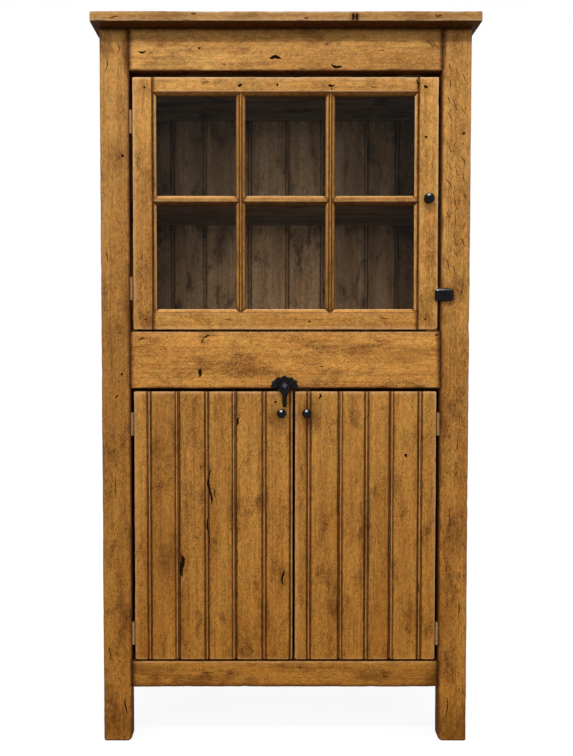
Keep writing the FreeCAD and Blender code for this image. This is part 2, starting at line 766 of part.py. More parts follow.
def battens(flip):
    """The two ledges across the back of a plank door."""
    start = -DOOR_EDGE + BATTEN_END_MARGIN
    end = flip * MEETING_X - MEETING_GAP / 2 - BATTEN_END_MARGIN
    front = DOOR_FACE + PLANK_THICKNESS
    half = BATTEN_HEIGHT / 2
    return [
        block((flip * start, flip * end), (front, front + BATTEN_THICKNESS), (z - half, z + half))
        for z in LOWER_HINGE_Z
    ]


# ---- ironwork
def knob(x, z, radius):
    """A knob filed to flats: a broad foot on the door, a waist and a domed head, with a spigot."""
    cap = KNOB_PROJECTION - KNOB_RIM_HEIGHT
    dome = (radius**2 + cap**2) / (2 * cap)
    rim_turn = asin((dome - cap) / dome)
    profile = [
        (KNOB_FOOT_SHARE * radius, 0.0),
        (KNOB_FOOT_SHARE * radius, KNOB_FOOT_HEIGHT / 2),
        (KNOB_WAIST_SHARE * radius, KNOB_FOOT_HEIGHT + KNOB_WAIST_HEIGHT / 2),
        (KNOB_WAIST_SHARE * radius, KNOB_FOOT_HEIGHT + KNOB_WAIST_HEIGHT),
    ]
    for step in range(KNOB_DOME_RINGS):
        turn = rim_turn + (pi / 2 - rim_turn) * step / KNOB_DOME_RINGS
        profile.append((dome * cos(turn), KNOB_PROJECTION - dome + dome * sin(turn)))

    def level(out):
        return lambda across, height: FreeCAD.Vector(x + across, DOOR_FACE - out, z + height)

    body = flat_sided([(level(out), r) for r, out in profile], KNOB_FLATS)
    return body.fuse(knob_spigot(x, z))


def knob_spigot(x, z):
    """The end of a knob that is driven into the door, and the hole that it fills."""
    return flat_pin(KNOB_SPIGOT_RADIUS, x, z, KNOB_SPIGOT_LENGTH)


def hinge_knuckles():
    """Where the frame's two knuckles and the door's one lie, from the middle of a hinge."""
    half, third = HINGE_HEIGHT / 2, HINGE_HEIGHT / 6
    return [(-half, -third), (third, half)], [
        (-third + HINGE_KNUCKLE_CLEARANCE, third - HINGE_KNUCKLE_CLEARANCE)
    ]


def hinge_leaf(side, z, towards_frame, knuckles):
    """One leaf: a plate, and a barrel and its neck at each knuckle.

    The pin is fast in the frame's knuckles and runs in the door's round bore.
    """
    out = side if towards_frame else -side
    x = side * HINGE_X
    wall = x + out * HINGE_GAP / 2
    plate_x = (wall - out * HINGE_LEAF_THICKNESS, wall)
    start = HINGE_Y + HINGE_BARREL_RADIUS + HINGE_SWEEP_CLEARANCE
    half = HINGE_HEIGHT / 2
    shape = block(plate_x, (start, HINGE_Y + HINGE_LEAF_DEPTH), (z - half, z + half))
    for low, high in knuckles:
        neck = block(plate_x, (HINGE_Y, start), (z + low, z + high))
        barrel = rod(HINGE_BARREL_RADIUS, (x, HINGE_Y, z + low), high - low, (0, 0, 1))
        shape = shape.fuse([neck, barrel])
    if towards_frame:
        return shape.cut(hinge_pin(side, z)).removeSplitter()
    bore = HINGE_PIN_RADIUS + HINGE_RUNNING_CLEARANCE
    return shape.cut(rod(bore, (x, HINGE_Y, z - half), HINGE_HEIGHT, (0, 0, 1))).removeSplitter()


def hinge_pin(side, z):
    """A pin with narrow flats, flush with the ends of the barrel."""
    turns = [radians(360 * index / HINGE_PIN_FLATS) for index in range(HINGE_PIN_FLATS)]
    corners = [
        (side * HINGE_X + HINGE_PIN_RADIUS * cos(turn), HINGE_Y + HINGE_PIN_RADIUS * sin(turn))
        for turn in turns
    ]
    outline = face(in_plan(z - HINGE_HEIGHT / 2), corners[0], corners[1:])
    return outline.extrude(up(HINGE_HEIGHT))


def turn_button():
    """A bevelled iron block that turns on a screw in the right post and laps the glazed door."""
    left = UPPER_RIGHT - BUTTON_LAP
    back = FRONT - BUTTON_STANDOFF
    front = back - BUTTON_THICKNESS
    body = block(
        (left, left + BUTTON_LENGTH),
        (back, front),
        (BUTTON_Z - BUTTON_HEIGHT / 2, BUTTON_Z + BUTTON_HEIGHT / 2),
    )
    edges = [edge for edge in body.Edges if edge.BoundBox.YMax < front + BUTTON_CHAMFER / 2]
    body = body.makeChamfer(BUTTON_CHAMFER, edges)
    hole = rod(
        SCREW_RADIUS + SCREW_CLEARANCE, (BUTTON_PIVOT_X, back, BUTTON_Z), BUTTON_THICKNESS, (0, -1, 0)
    )
    return body.cut(hole)


def turn_button_screw():
    """The screw that the button turns on, with a flat head against the button's face."""
    head = FRONT - BUTTON_STANDOFF - BUTTON_THICKNESS - SCREW_CLEARANCE
    x = BUTTON_PIVOT_X
    shank = rod(SCREW_RADIUS, (x, head, BUTTON_Z), FRONT + SCREW_BITE - head, (0, 1, 0))
    cap = rod(SCREW_HEAD_RADIUS, (x, head, BUTTON_Z), SCREW_HEAD_HEIGHT, (0, -1, 0))
    return shank.fuse(cap).removeSplitter()


def button_screw_hole():
    return rod(SCREW_RADIUS, (BUTTON_PIVOT_X, FRONT, BUTTON_Z), SCREW_BITE, (0, 1, 0))


def latch_plate():
    """A shell-shaped plate with pointed petals, its straight side along the rail's lower edge."""
    drop = LATCH_LIFT - LATCH_PLATE_MARGIN
    first = -degrees(asin(drop / LATCH_PLATE_RISE))
    step = (180 - 2 * first) / LATCH_PLATE_PETALS

    def at(grow, turn):
        across, height = LATCH_PLATE_HALF_WIDTH + grow, LATCH_PLATE_RISE + grow
        return (LATCH_X + across * cos(radians(turn)), LATCH_Z + height * sin(radians(turn)))

    def petal(index):
        start = first + index * step
        return at(LATCH_PETAL_TIP, start + step / 2), at(0.0, start + step)

    moves = [point for index in range(LATCH_PLATE_PETALS) for point in petal(index)]
    outline = face(in_front_view(FRONT), at(0.0, first), moves)
    plate = outline.extrude(FreeCAD.Vector(0, -LATCH_PLATE_THICKNESS, 0))
    return plate.cut(rod(SCREW_RADIUS, (LATCH_X, FRONT, LATCH_Z), LATCH_PLATE_THICKNESS, (0, -1, 0)))


def latch_pear():
    """The pear: a round head, a hollowed neck and a stem that hangs over the left door's edge.

    Each hollow of the neck is an arc tangent to the head's circle and to the side of the stem.
    """
    head_z, head, neck = LATCH_Z - LATCH_HEAD_DROP, LATCH_HEAD_RADIUS, LATCH_NECK_RADIUS
    stem = LATCH_STEM_WIDTH / 2
    across = stem + neck
    fall = sqrt((head + neck) ** 2 - across**2)
    lean = degrees(asin(across / hypot(across, fall)))
    tail_z = LATCH_Z - LATCH_REACH + stem
    right, left = LATCH_X + across, LATCH_X - across
    start = (LATCH_X + stem, head_z - fall)
    outline = face(
        in_front_view(LATCH_BACK),
        start,
        [
            quarter((right, head_z - fall), neck, 180, 90 + lean),
            quarter((LATCH_X, head_z), head, lean - 90, 270 - lean),
            quarter((left, head_z - fall), neck, 90 - lean, 0),
            (LATCH_X - stem, tail_z),
            quarter((LATCH_X, tail_z), stem, 180, 360),
        ],
    )
    body = outline.extrude(FreeCAD.Vector(0, -LATCH_THICKNESS, 0))
    front = LATCH_BACK - LATCH_THICKNESS
    edges = [edge for edge in body.Edges if edge.BoundBox.YMax < front + LATCH_EDGE_CHAMFER / 2]
    body = body.makeChamfer(LATCH_EDGE_CHAMFER, edges)
    hole = rod(
        SCREW_RADIUS + SCREW_CLEARANCE, (LATCH_X, LATCH_BACK, LATCH_Z), LATCH_THICKNESS, (0, -1, 0)
    )
    return body.cut(hole)


def latch_screw():
    """The pivot: a shank through the pear and the plate, with a square nut on the front."""
    front = LATCH_BACK - LATCH_THICKNESS - SCREW_CLEARANCE
    shank = rod(SCREW_RADIUS, (LATCH_X, front, LATCH_Z), FRONT + SCREW_BITE - front, (0, 1, 0))
    half = LATCH_NUT_SIZE / 2
    nut = block((-half, half), (0.0, -LATCH_NUT_HEIGHT), (-half, half))
    nut.rotate(FreeCAD.Vector(0, 0, 0), FreeCAD.Vector(0, 1, 0), LATCH_NUT_TURN)
    nut.translate(FreeCAD.Vector(LATCH_X, front, LATCH_Z))
    return shank.fuse(nut).removeSplitter()


def latch_screw_hole():
    return rod(SCREW_RADIUS, (LATCH_X, FRONT, LATCH_Z), SCREW_BITE, (0, 1, 0))


# ---- assembly
def build_case():
    save("top_board", top_board())
    save("front_post_left", post(-1))
    save("front_post_right", post(1).cut(button_screw_hole()))
    for node, (low, height) in RAILS.items():
        shape = rail(low, height)
        save(node, shape.cut(latch_screw_hole()) if node == "middle_rail" else shape)
    for side, name in ((-1, "left"), (1, "right")):
        front, back = side_boards(side)
        save(f"side_{name}_front_board", front)
        save(f"side_{name}_back_board", back)
    for number, board in enumerate(back_boards(), 1):
        save(f"back_board_{number}", board)
    save("ceiling_board", loose_board(CEILING_Z, FRAME_THICKNESS, CEILING_THICKNESS))
    save("upper_shelf", loose_board(UPPER_SHELF_Z, UPPER_SHELF_SETBACK, SHELF_THICKNESS))
    save("lower_shelf", loose_board(LOWER_SHELF_Z, LOWER_SHELF_SETBACK, SHELF_THICKNESS))
    save("middle_shelf", middle_shelf())
    save("floor_board", floor_board())
    save("ceiling_cleats", *cleats(CEILING_Z, FRAME_THICKNESS))
    save("upper_shelf_cleats", *cleats(UPPER_SHELF_Z, UPPER_SHELF_SETBACK))
    save("lower_shelf_cleats", *cleats(LOWER_SHELF_Z, LOWER_SHELF_SETBACK))
    save("door_stops", upper_door_stop(), lower_door_stop())


def build_glazed_door():
    bottom_tenon, top_tenon = sash_tenon_heights()
    bottom = sash_rail(UPPER_BOTTOM, UPPER_BOTTOM + SASH_BOTTOM_FACE, 1, bottom_tenon)
    top = sash_rail(UPPER_TOP, UPPER_TOP - SASH_TOP_FACE, -1, top_tenon)
    knob_place = (UPPER_RIGHT - UPPER_KNOB_INSET, UPPER_KNOB_Z)
    stiles = [sash_stile(-1), sash_stile(1).cut(knob_spigot(*knob_place))]
    uprights = [upright_muntin(centre, (bottom, top)) for centre in muntin_centres()]
    save("glazed_door_hinge_stile", stiles[0])
    save("glazed_door_lock_stile", stiles[1])
    save("glazed_door_bottom_rail", bottom)
    save("glazed_door_top_rail", top)
    for number, upright in enumerate(uprights, 1):
        save(f"upright_muntin_{number}", upright)
    neighbours = [stiles[0], *uprights, stiles[1]]
    for number, (left, right) in enumerate(pane_columns(), 1):
        save(f"cross_muntin_{number}", cross_muntin(left, right, neighbours[number - 1 : number + 1]))
    openings = [(column, row) for row in pane_rows() for column in pane_columns()]
    save("glass_panes", *[glass_pane(*opening) for opening in openings])
    save("glazing_putty", *[putty(*opening) for opening in openings])
    save("glazed_door_pegs", *pegs())
    save("glazed_door_knob", knob(*knob_place, UPPER_KNOB_RADIUS))


def build_plank_doors():
    doors = (("left_door", 1.0, LEFT_PLANKS, True), ("right_door", -1.0, RIGHT_PLANKS, False))
    for name, flip, pattern, edge_bead in doors:
        planks = plank_door(flip, pattern, LOWER_BOTTOM, LOWER_TOP, edge_bead)
        knob_x = MEETING_X - flip * (MEETING_GAP / 2 + LOWER_KNOB_INSET)
        planks[-1] = planks[-1].cut(knob_spigot(knob_x, LOWER_KNOB_Z))
        for number, plank in enumerate(planks, 1):
            save(f"{name}_plank_{number}", plank)
        save(f"{name}_battens", *battens(flip))
        save(f"{name}_knob", knob(knob_x, LOWER_KNOB_Z, LOWER_KNOB_RADIUS))


def build_ironwork():
    frame_knuckles, door_knuckles = hinge_knuckles()
    hinges = (
        ("glazed_door", -1, UPPER_HINGE_Z),
        ("left_door", -1, LOWER_HINGE_Z),
        ("right_door", 1, LOWER_HINGE_Z),
    )
    places = [(side, z) for name, side, heights in hinges for z in heights]
    save("hinge_frame_leaves", *[hinge_leaf(side, z, True, frame_knuckles) for side, z in places])
    save("hinge_pins", *[hinge_pin(side, z) for side, z in places])
    for name, side, heights in hinges:
        save(f"{name}_hinge_leaves", *[hinge_leaf(side, z, False, door_knuckles) for z in heights])
    save("turn_button", turn_button())
    save("turn_button_screw", turn_button_screw())
    save("latch_plate", latch_plate())
    save("latch_pear", latch_pear())
    save("latch_screw", latch_screw())


os.makedirs("parts", exist_ok=True)
build_case()
build_glazed_door()
build_plank_doors()
build_ironwork()
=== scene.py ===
# %% [markdown]
# # A country jelly cupboard in old pine
#
# The cupboard is a nailed pine case with a face frame, a glazed door of six panes over a pair of
# beaded plank doors, and black ironwork. It was stained honey brown long ago, waxed many times and
# knocked about. What tells the eye that it is old is its edges and its skin: arrises that are
# rubbed round and pale, joints that hold dark dirt, worm holes, shakes and open grain.
#
# Boxes from a CAD model have perfect edges, so each board is drawn again here inside the space that
# its CAD solid holds: a cross-section is swept along the board, and the sweep rubs the edges,
# dents the faces and carries the board's own grain coordinates to the material.

# %% The frame
import json
import math

import bmesh
import bpy
import numpy as np
from mathutils import Matrix, Vector

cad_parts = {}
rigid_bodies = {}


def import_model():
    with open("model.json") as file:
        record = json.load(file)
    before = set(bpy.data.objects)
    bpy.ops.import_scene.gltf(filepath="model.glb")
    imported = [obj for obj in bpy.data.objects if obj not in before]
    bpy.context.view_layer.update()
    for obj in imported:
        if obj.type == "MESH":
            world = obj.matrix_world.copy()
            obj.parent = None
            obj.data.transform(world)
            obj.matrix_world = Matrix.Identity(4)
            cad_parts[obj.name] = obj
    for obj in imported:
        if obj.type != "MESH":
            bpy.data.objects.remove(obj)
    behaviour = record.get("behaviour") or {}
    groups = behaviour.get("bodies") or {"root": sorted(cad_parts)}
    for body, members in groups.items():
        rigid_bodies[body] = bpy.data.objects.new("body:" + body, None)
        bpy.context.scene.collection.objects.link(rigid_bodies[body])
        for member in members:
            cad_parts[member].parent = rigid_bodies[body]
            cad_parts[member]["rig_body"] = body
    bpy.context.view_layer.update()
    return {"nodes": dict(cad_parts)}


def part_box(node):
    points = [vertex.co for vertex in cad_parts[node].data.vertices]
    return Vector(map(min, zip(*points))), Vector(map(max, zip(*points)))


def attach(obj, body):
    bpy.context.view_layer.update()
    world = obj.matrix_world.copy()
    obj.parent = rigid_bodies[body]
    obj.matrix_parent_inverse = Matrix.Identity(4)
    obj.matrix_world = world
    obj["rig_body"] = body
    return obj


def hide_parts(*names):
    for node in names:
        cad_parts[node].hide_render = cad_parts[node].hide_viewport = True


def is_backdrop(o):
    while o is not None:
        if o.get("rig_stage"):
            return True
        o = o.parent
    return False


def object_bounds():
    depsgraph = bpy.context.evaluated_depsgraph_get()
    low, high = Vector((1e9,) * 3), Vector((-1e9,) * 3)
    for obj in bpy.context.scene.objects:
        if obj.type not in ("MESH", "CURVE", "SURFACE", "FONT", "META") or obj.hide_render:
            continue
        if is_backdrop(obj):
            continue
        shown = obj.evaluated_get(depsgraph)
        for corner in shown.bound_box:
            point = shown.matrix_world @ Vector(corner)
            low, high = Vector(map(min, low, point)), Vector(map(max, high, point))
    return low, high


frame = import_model()
MM = 0.001

# %% [markdown]
# ## Places
#
# The frame says where everything is. These few values are read from it once, in millimetres. The
# front looks towards -Y, so the smallest y of a board is its show face.

# %% Places read from the frame
def extent(node):
    """Lowest and highest corner of a CAD node, in millimetres."""
    low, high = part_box(node)
    return np.array(low) / MM, np.array(high) / MM


def middle_of(node):
    """The middle of a CAD node's box, in millimetres."""
    low, high = extent(node)
    return (low + high) / 2


POST_LOW, POST_HIGH = extent("front_post_left")
FRAME_FACE = POST_LOW[1]
FRAME_BACK = POST_HIGH[1]
DOOR_FACE = extent("left_door_plank_1")[0][1]
BACK_FACE = extent("back_board_1")[0][1]
OPENING_HALF = -POST_HIGH[0]
print(f"frame face y {FRAME_FACE:.0f}, door face y {DOOR_FACE:.0f}, opening {2 * OPENING_HALF:.0f} wide")

# %% [markdown]
# ## Camera
#
# The cupboard stands almost square to the camera, which is at chest height a little under two
# metres away and tips down by less than two degrees. The lens is shifted, so the middle of the
# picture isn't where the lens points.

# %% Camera
PICTURE = (573, 756)
FOCAL_PIXELS = 700.0
AIM_PIXEL = (264.5, 357.0)
CAMERA_PLACE = (-55.0, FRAME_FACE - 1853.0, 1093.0)
CAMERA_TIP = 1.79  # degrees below level
SENSOR = 24.0

camera_data = bpy.data.cameras.new("camera")
camera_data.sensor_fit = "VERTICAL"
camera_data.sensor_height = SENSOR
camera_data.lens = FOCAL_PIXELS * SENSOR / PICTURE[1]
camera_data.shift_x = (PICTURE[0] / 2 - AIM_PIXEL[0]) / PICTURE[1]
camera_data.shift_y = (AIM_PIXEL[1] - PICTURE[1] / 2) / PICTURE[1]
camera = bpy.data.objects.new("camera", camera_data)
camera.location = Vector(CAMERA_PLACE) * MM
camera.rotation_euler = (math.radians(90 - CAMERA_TIP), 0, 0)
bpy.context.scene.collection.objects.link(camera)
bpy.context.scene.camera = camera
print(f"lens {camera_data.lens:.1f} mm on a {SENSOR:.0f} mm sensor")

# %% [markdown]
# ## Colours and nodes
#
# Colours are written as sRGB hex, as they would be picked from a paint chart, and turned to the
# linear values that the shaders want. One helper adds a node, sets it and links it. A size in
# millimetres becomes a noise scale through `per_metre`, because all coordinates are in metres.

# %% Helpers for materials
def colour(hex_code):
    """A linear colour from an sRGB hex code."""
    parts = [int(hex_code[i : i + 2], 16) / 255 for i in (1, 3, 5)]
    return (*[c / 12.92 if c <= 0.04045 else ((c + 0.055) / 1.055) ** 2.4 for c in parts], 1.0)


def per_metre(size_mm):
    """How many features of this size go into a metre."""
    return 1.0 / (size_mm * MM)


def add(tree, kind, settings=None, **inputs):
    """A node with its settings and its inputs: a socket is linked, and anything else is a value."""
    node = tree.nodes.new(kind)
    for name, value in (settings or {}).items():
        setattr(node, name, value)
    for name, value in inputs.items():
        key = int(name[1:]) if name[0] == "_" else name.replace("_", " ")
        if isinstance(value, bpy.types.NodeSocket):
            tree.links.new(value, node.inputs[key])
        else:
            node.inputs[key].default_value = value
    return node


def new_material(name):
    """An empty node material and its tree."""
    material = bpy.data.materials.new(name)
    material.use_nodes = True
    material.node_tree.nodes.clear()
    return material, material.node_tree


def recipe(tree):
    """Short ways to add the nodes that every material uses."""

    def mix(factor, a, b, kind="MIX"):
        """Two colours mixed; each is a socket or a plain colour."""
        settings = {"data_type": "RGBA", "blend_type": kind}
        return add(tree, "ShaderNodeMix", settings, Factor=factor, _6=a, _7=b).outputs[2]

    def lumps(place, size, detail=2.0, rough=0.5, distortion=0.0):
        """Noise with lumps of this size in mm."""
        return add(
            tree, "ShaderNodeTexNoise", {}, Vector=place, Scale=per_metre(size), Detail=detail,
            Roughness=rough, Distortion=distortion,
        ).outputs["Fac"]

    def band(value, low, high, to_low=0.0, to_high=1.0, kind="SMOOTHSTEP"):
        """The way of a value from low to high, turned into a way from to_low to to_high."""
        return add(
            tree, "ShaderNodeMapRange", {"interpolation_type": kind},
            Value=value, From_Min=low, From_Max=high, To_Min=to_low, To_Max=to_high,
        ).outputs["Result"]

    def combine(operation, a, b):
        """Two values multiplied, added or compared, kept between 0 and 1."""
        settings = {"operation": operation, "use_clamp": True}
        return add(tree, "ShaderNodeMath", settings, _0=a, _1=b).outputs[0]

    return mix, lumps, band, combine


def finish_material(tree, base, rough, height, strength, depth, **more):
    """A Principled shader over a bump of this depth in mm, linked to the output."""
    bump = add(tree, "ShaderNodeBump", {}, Strength=strength, Distance=depth * MM, Height=height)
    shader = add(
        tree, "ShaderNodeBsdfPrincipled", {}, Base_Color=base, Roughness=rough,
        Normal=bump.outputs[0], **more,
    )
    add(tree, "ShaderNodeOutputMaterial", {}, Surface=shader.outputs[0])


# %% [markdown]
# ## Aged pine, stained and waxed
#
# The real finish is softwood with a worn honey stain under old wax. Pine gives broad soft streaks
# along the board, and the wax has filled its pores and bruises with dark dirt: short flecks that
# run with the grain, smoky patches, and a nearly black line in every joint. Hands and cloths have
# rubbed the stain off the arrises, which show pale raw wood.
#
# Each layer is one noise texture, stretched along the grain because the board's own coordinates run (along,
# across, through). The board carries a few numbers for its material: one says where it is rubbed pale, and
# on some upward arrises where a highlight is painted; one says where dirt sits, and where shade is painted
# into gaps, undersides and corners; `checked` says where its skin has cracked, and `tone` how light this
# board is. The same recipe with other colours makes the dark inside.

# %% Material: waxed pine
GRAIN_PITCH = 5.0  # mm between growth lines; real ones are nearer 3, too fine to show
STREAK = 38.0  # mm, width of the soft light and dark streaks
HUE = 30.0  # mm, patches where the stain turned redder or yellower
SMOKE = 50.0  # mm, clouds of old wax
MOTTLE = 8.0  # mm, uneven stain
SPECK = 2.5  # mm, pits and pores; real pores are under 1
FLECK = 3.0  # mm wide, short bruises packed with wax
CHECK = 4.2  # mm between fine drying cracks
CLEAN_AND_LIT_HEIGHT = 1.9  # metres, where the wood is cleanest and its painted sheen strongest
WAX_SHEEN = 0.08  # the shader's specular level: worn wax over open pores scatters most of its gloss
REDDER, YELLOWER = (1.03, 0.98, 0.94, 1.0), (0.98, 1.01, 0.98, 1.0)


def wood(
    name, light, deep, smoke_and_shade, fleck, raw_and_highlight, dirt_and_shade, low_dirt_and_shade, high_clean_and_sheen, wax,
    fleck_share=1.0, smoke_share=0.52,
):
    """Pine with a wax skin. Colours are hex codes. The two height factors multiply the colour at the floor
    and at the top: towards the floor it is darker, for dirt and painted shade, and towards the top paler
    and bluer, for a painted sheen. wax is the roughness of the clean skin."""
    material, tree = new_material(name)
    mix, lumps, band, combine = recipe(tree)

    def noise(stretch, size, detail=2.0, rough=0.5, distortion=0.0, shift=0.0):
        """Noise with lumps of this size in mm across the grain, and stretch times as long."""
        place = add(
            tree, "ShaderNodeVectorMath", {"operation": "MULTIPLY_ADD"},
            _0=grain, _1=(1.0 / stretch, 1.0, 1.0), _2=(shift, shift, shift),
        )
        return lumps(place.outputs[0], size, detail, rough, distortion)

    def scaled(tint, amount):
        """A colour made lighter or darker."""
        return add(tree, "ShaderNodeVectorMath", {"operation": "SCALE"}, _0=tint, Scale=amount).outputs[0]

    def carried(attribute, output="Fac"):
        """A value that the mesh brings along."""
        return add(tree, "ShaderNodeAttribute", {"attribute_name": attribute}).outputs[output]

    grain = carried("grain", "Vector")
    place = add(tree, "ShaderNodeTexCoord").outputs["Object"]
    height = add(tree, "ShaderNodeSeparateXYZ", {}, Vector=place).outputs["Z"]
    rise = band(height, 0.0, CLEAN_AND_LIT_HEIGHT, kind="LINEAR")
    smoky = noise(2.0, SMOKE, detail=5.0, rough=0.62, distortion=0.4, shift=7.7)
    specks = noise(1.8, SPECK, detail=2.0, rough=0.6, shift=5.9)
    mottle = noise(2.0, MOTTLE, detail=3.0, rough=0.7, shift=2.3)
    lines = noise(40.0, GRAIN_PITCH, detail=2.0, rough=0.6, distortion=0.6, shift=3.1)

    # the stain: soft streaks, patches where it is redder or yellower, growth lines and old smoke
    base = mix(band(noise(12.0, STREAK, 3.0, 0.55), 0.32, 0.68), colour(deep), colour(light))
    hue = band(noise(1.6, HUE, 3.0, 0.6, 0.3, 4.2), 0.36, 0.64)
    base = mix(hue, *(mix(1.0, base, tint, "MULTIPLY") for tint in (REDDER, YELLOWER)))
    base = mix(combine("MULTIPLY", band(lines, 0.50, 0.68), 0.34), base, colour(smoke_and_shade))
    smoke_here = band(rise, 0.25, 0.9, 1.4 * smoke_share, smoke_share)
    base = mix(combine("MULTIPLY", band(smoky, 0.49, 0.70), smoke_here), base, colour(smoke_and_shade))
    base = scaled(base, band(mottle, 0.30, 0.70, 0.78, 1.16))
    # pits and pores: dark where wax filled them; light specks for rubbed high spots and for painted glints
    # of the wax
    pits = combine("MULTIPLY", band(specks, 0.57, 0.645), band(smoky, 0.30, 0.62, 0.34, 0.85))
    pits = combine("MULTIPLY", pits, band(rise, 0.4, 1.0, 1.0, 0.46))
    base = mix(pits, base, colour(fleck))
    glints = combine("MULTIPLY", band(specks, 0.45, 0.32), 0.40)
    base = mix(glints, base, colour(raw_and_highlight))
    bruises = noise(3.0, FLECK, detail=2.0, rough=0.6, distortion=0.5, shift=1.3)
    bruises = combine("MULTIPLY", band(bruises, 0.64, 0.72), band(smoky, 0.44, 0.66, 0.06, 0.9))
    bruises = combine("MULTIPLY", bruises, 0.9 * fleck_share)
    checks = noise(7.0, CHECK, detail=3.0, rough=0.6, distortion=1.6, shift=9.4)
    cracks = combine("MULTIPLY", band(checks, 0.60, 0.66), carried("checked"))
    dark = combine("MAXIMUM", bruises, cracks)
    base = mix(dark, base, colour(fleck))
    # rubbed arrises, broken up so that the wear isn't a stripe, and a painted highlight on some upward
    # arrises; dirt in the joints, and painted shade in gaps, undersides and corners
    rub = combine("MULTIPLY", carried("rub"), band(mottle, 0.25, 0.60, 0.35, 1.0))
    base = mix(combine("MULTIPLY", rub, 0.85), base, colour(raw_and_highlight))
    soiled_and_shaded = combine("MULTIPLY", carried("soil_and_shade"), band(mottle, 0.25, 0.65, 1.0, 0.74))
    base = mix(combine("MULTIPLY", band(soiled_and_shaded, 0.0, 0.55), 0.8), base, colour(smoke_and_shade))
    base = mix(combine("MULTIPLY", soiled_and_shaded, soiled_and_shaded), base, colour(dirt_and_shade))
    # the board's own tone, then darker towards the floor for dirt, wet and painted shade, and paler towards
    # the top for a painted sheen
    height_dirt_and_light = mix(rise, (*low_dirt_and_shade, 1.0), (*high_clean_and_sheen, 1.0))
    base = mix(1.0, scaled(base, carried("tone")), height_dirt_and_light, "MULTIPLY")

    rough = combine("ADD", band(smoky, 0.35, 0.70, wax, wax + 0.14), combine("MULTIPLY", dark, 0.30))
    rough = combine("ADD", rough, combine("MULTIPLY", soiled_and_shaded, 0.30))
    sunk = combine("MAXIMUM", dark, combine("MULTIPLY", pits, 0.7))
    raised = combine("MULTIPLY", mottle, 0.8)
    relief = add(tree, "ShaderNodeMath", {"operation": "MULTIPLY_ADD"}, _0=sunk, _1=-1.0, _2=raised)
    finish_material(
        tree, base, rough, relief.outputs[0], 0.7, 0.5, IOR=1.5, Specular_IOR_Level=WAX_SHEEN
    )
    return material


WAXED_PINE = wood(
    "waxed_pine", light="#d99d48", deep="#bd8237", smoke_and_shade="#74431a", fleck="#52290d",
    raw_and_highlight="#e6b675", dirt_and_shade="#220c05", low_dirt_and_shade=(0.86, 0.73, 0.54), high_clean_and_sheen=(1.01, 1.07, 1.42),
    wax=0.42,
)
DARK_PINE = wood(
    "old_dark_pine", light="#dab488", deep="#b08962", smoke_and_shade="#4c3220", fleck="#2c190c",
    raw_and_highlight="#c9a67a", dirt_and_shade="#140b05", low_dirt_and_shade=(0.9, 0.9, 0.9), high_clean_and_sheen=(1.0, 1.0, 1.0),
    wax=0.62, fleck_share=0.6, smoke_share=0.75,
)
print("materials:", WAXED_PINE.name, DARK_PINE.name)

# %% [markdown]
# ## The inside of holes and shakes
#
# Where the skin is broken the wood is bare, rough and packed with dust and old wax. It is almost
# black, with a little brown where light gets in.

# %% Material: broken wood
def broken_wood():
    """Bare crumbs, dark brown to nearly black."""
    material, tree = new_material("broken_wood")
    mix, lumps, _, _ = recipe(tree)
    crumbs = lumps(add(tree, "ShaderNodeTexCoord").outputs["Object"], 1.8, 3.0)
    base = mix(crumbs, colour("#0e0602"), colour("#3a2210"))
    finish_material(tree, base, 0.95, crumbs, 0.8, 0.6, Specular_IOR_Level=0.05)
    return material


BROKEN_WOOD = broken_wood()

# %% [markdown]
# ## Iron, brass, glass and putty
#
# The knobs, the turn button and the latch are wrought iron, blackened with oil and heat. Such iron
# is a dull dark metal with hammer marks, a little sheen on its high spots and brown rust in its
# hollows. The butt hinges were once brass plated and have tarnished to a dull tan with bright rims.
#
# Window glass is nearly clear. Lamps have to reach the inside through it, and a thin pane would
# block them, so shadow rays pass it as if it were open.

# %% Materials: metal, glass and putty
PAINTED_HIGHLIGHT = "#b4bcc6"  # bright iron, the colour of a painted highlight


def metal(name, clean, worn, stain, roughness, patch, grit, depth, oil=0.0):
    """A worked metal: clean is its main colour, worn its rubbed spots and stain its hollows. Patch, grit
    and depth are the sizes of its marks in mm, and oil is how much of it has a film of dried oil that
    catches the lamp. Where the mesh carries a painted highlight, its colour goes to bright iron."""
    material, tree = new_material(name)
    mix, lumps, band, _ = recipe(tree)
    place = add(tree, "ShaderNodeTexCoord").outputs["Object"]
    patches = lumps(place, patch, 4.0, 0.6)
    grains = lumps(place, grit, 2.0, 0.6)
    base = mix(band(patches, 0.52, 0.72, 0.0, 0.8), colour(clean), colour(stain))
    base = mix(band(grains, 0.58, 0.74, 0.0, 0.7), base, colour(worn))
    painted_highlight_share = add(tree, "ShaderNodeAttribute", {"attribute_name": "rub"}).outputs["Fac"]
    base = mix(painted_highlight_share, base, colour(PAINTED_HIGHLIGHT))
    rough = band(patches, 0.3, 0.7, roughness - 0.08, roughness + 0.14, "LINEAR")
    relief = add(tree, "ShaderNodeMath", {"operation": "ADD"}, _0=patches, _1=grains).outputs[0]
    finish_material(
        tree, base, rough, relief, 0.6, depth, Metallic=1.0, Coat_Weight=oil, Coat_Roughness=0.2
    )
    return material


BLACK_IRON = metal("blackened_iron", "#0a0b0e", "#2c2f34", "#0d0b0a", 0.34, 9.0, 1.6, 0.25, oil=0.2)
# bright iron for the nut: worn metal with a painted highlight
BRIGHT_NUT_IRON = metal("bright_nut_iron", "#45474c", "#b2b5ba", "#1d1815", 0.34, 5.0, 1.6, 0.3, oil=0.3)
RUSTED_IRON = metal("rusted_nail_iron", "#3a2c22", "#5b4433", "#1f140d", 0.62, 2.5, 1.4, 0.3)
OLD_BRASS = metal("tarnished_brass", "#94714c", "#c6a379", "#4a3420", 0.48, 6.0, 1.4, 0.25)


GLASS_SHEEN = 0.1  # share of a clean pane's reflection: dust and old putty film dull it


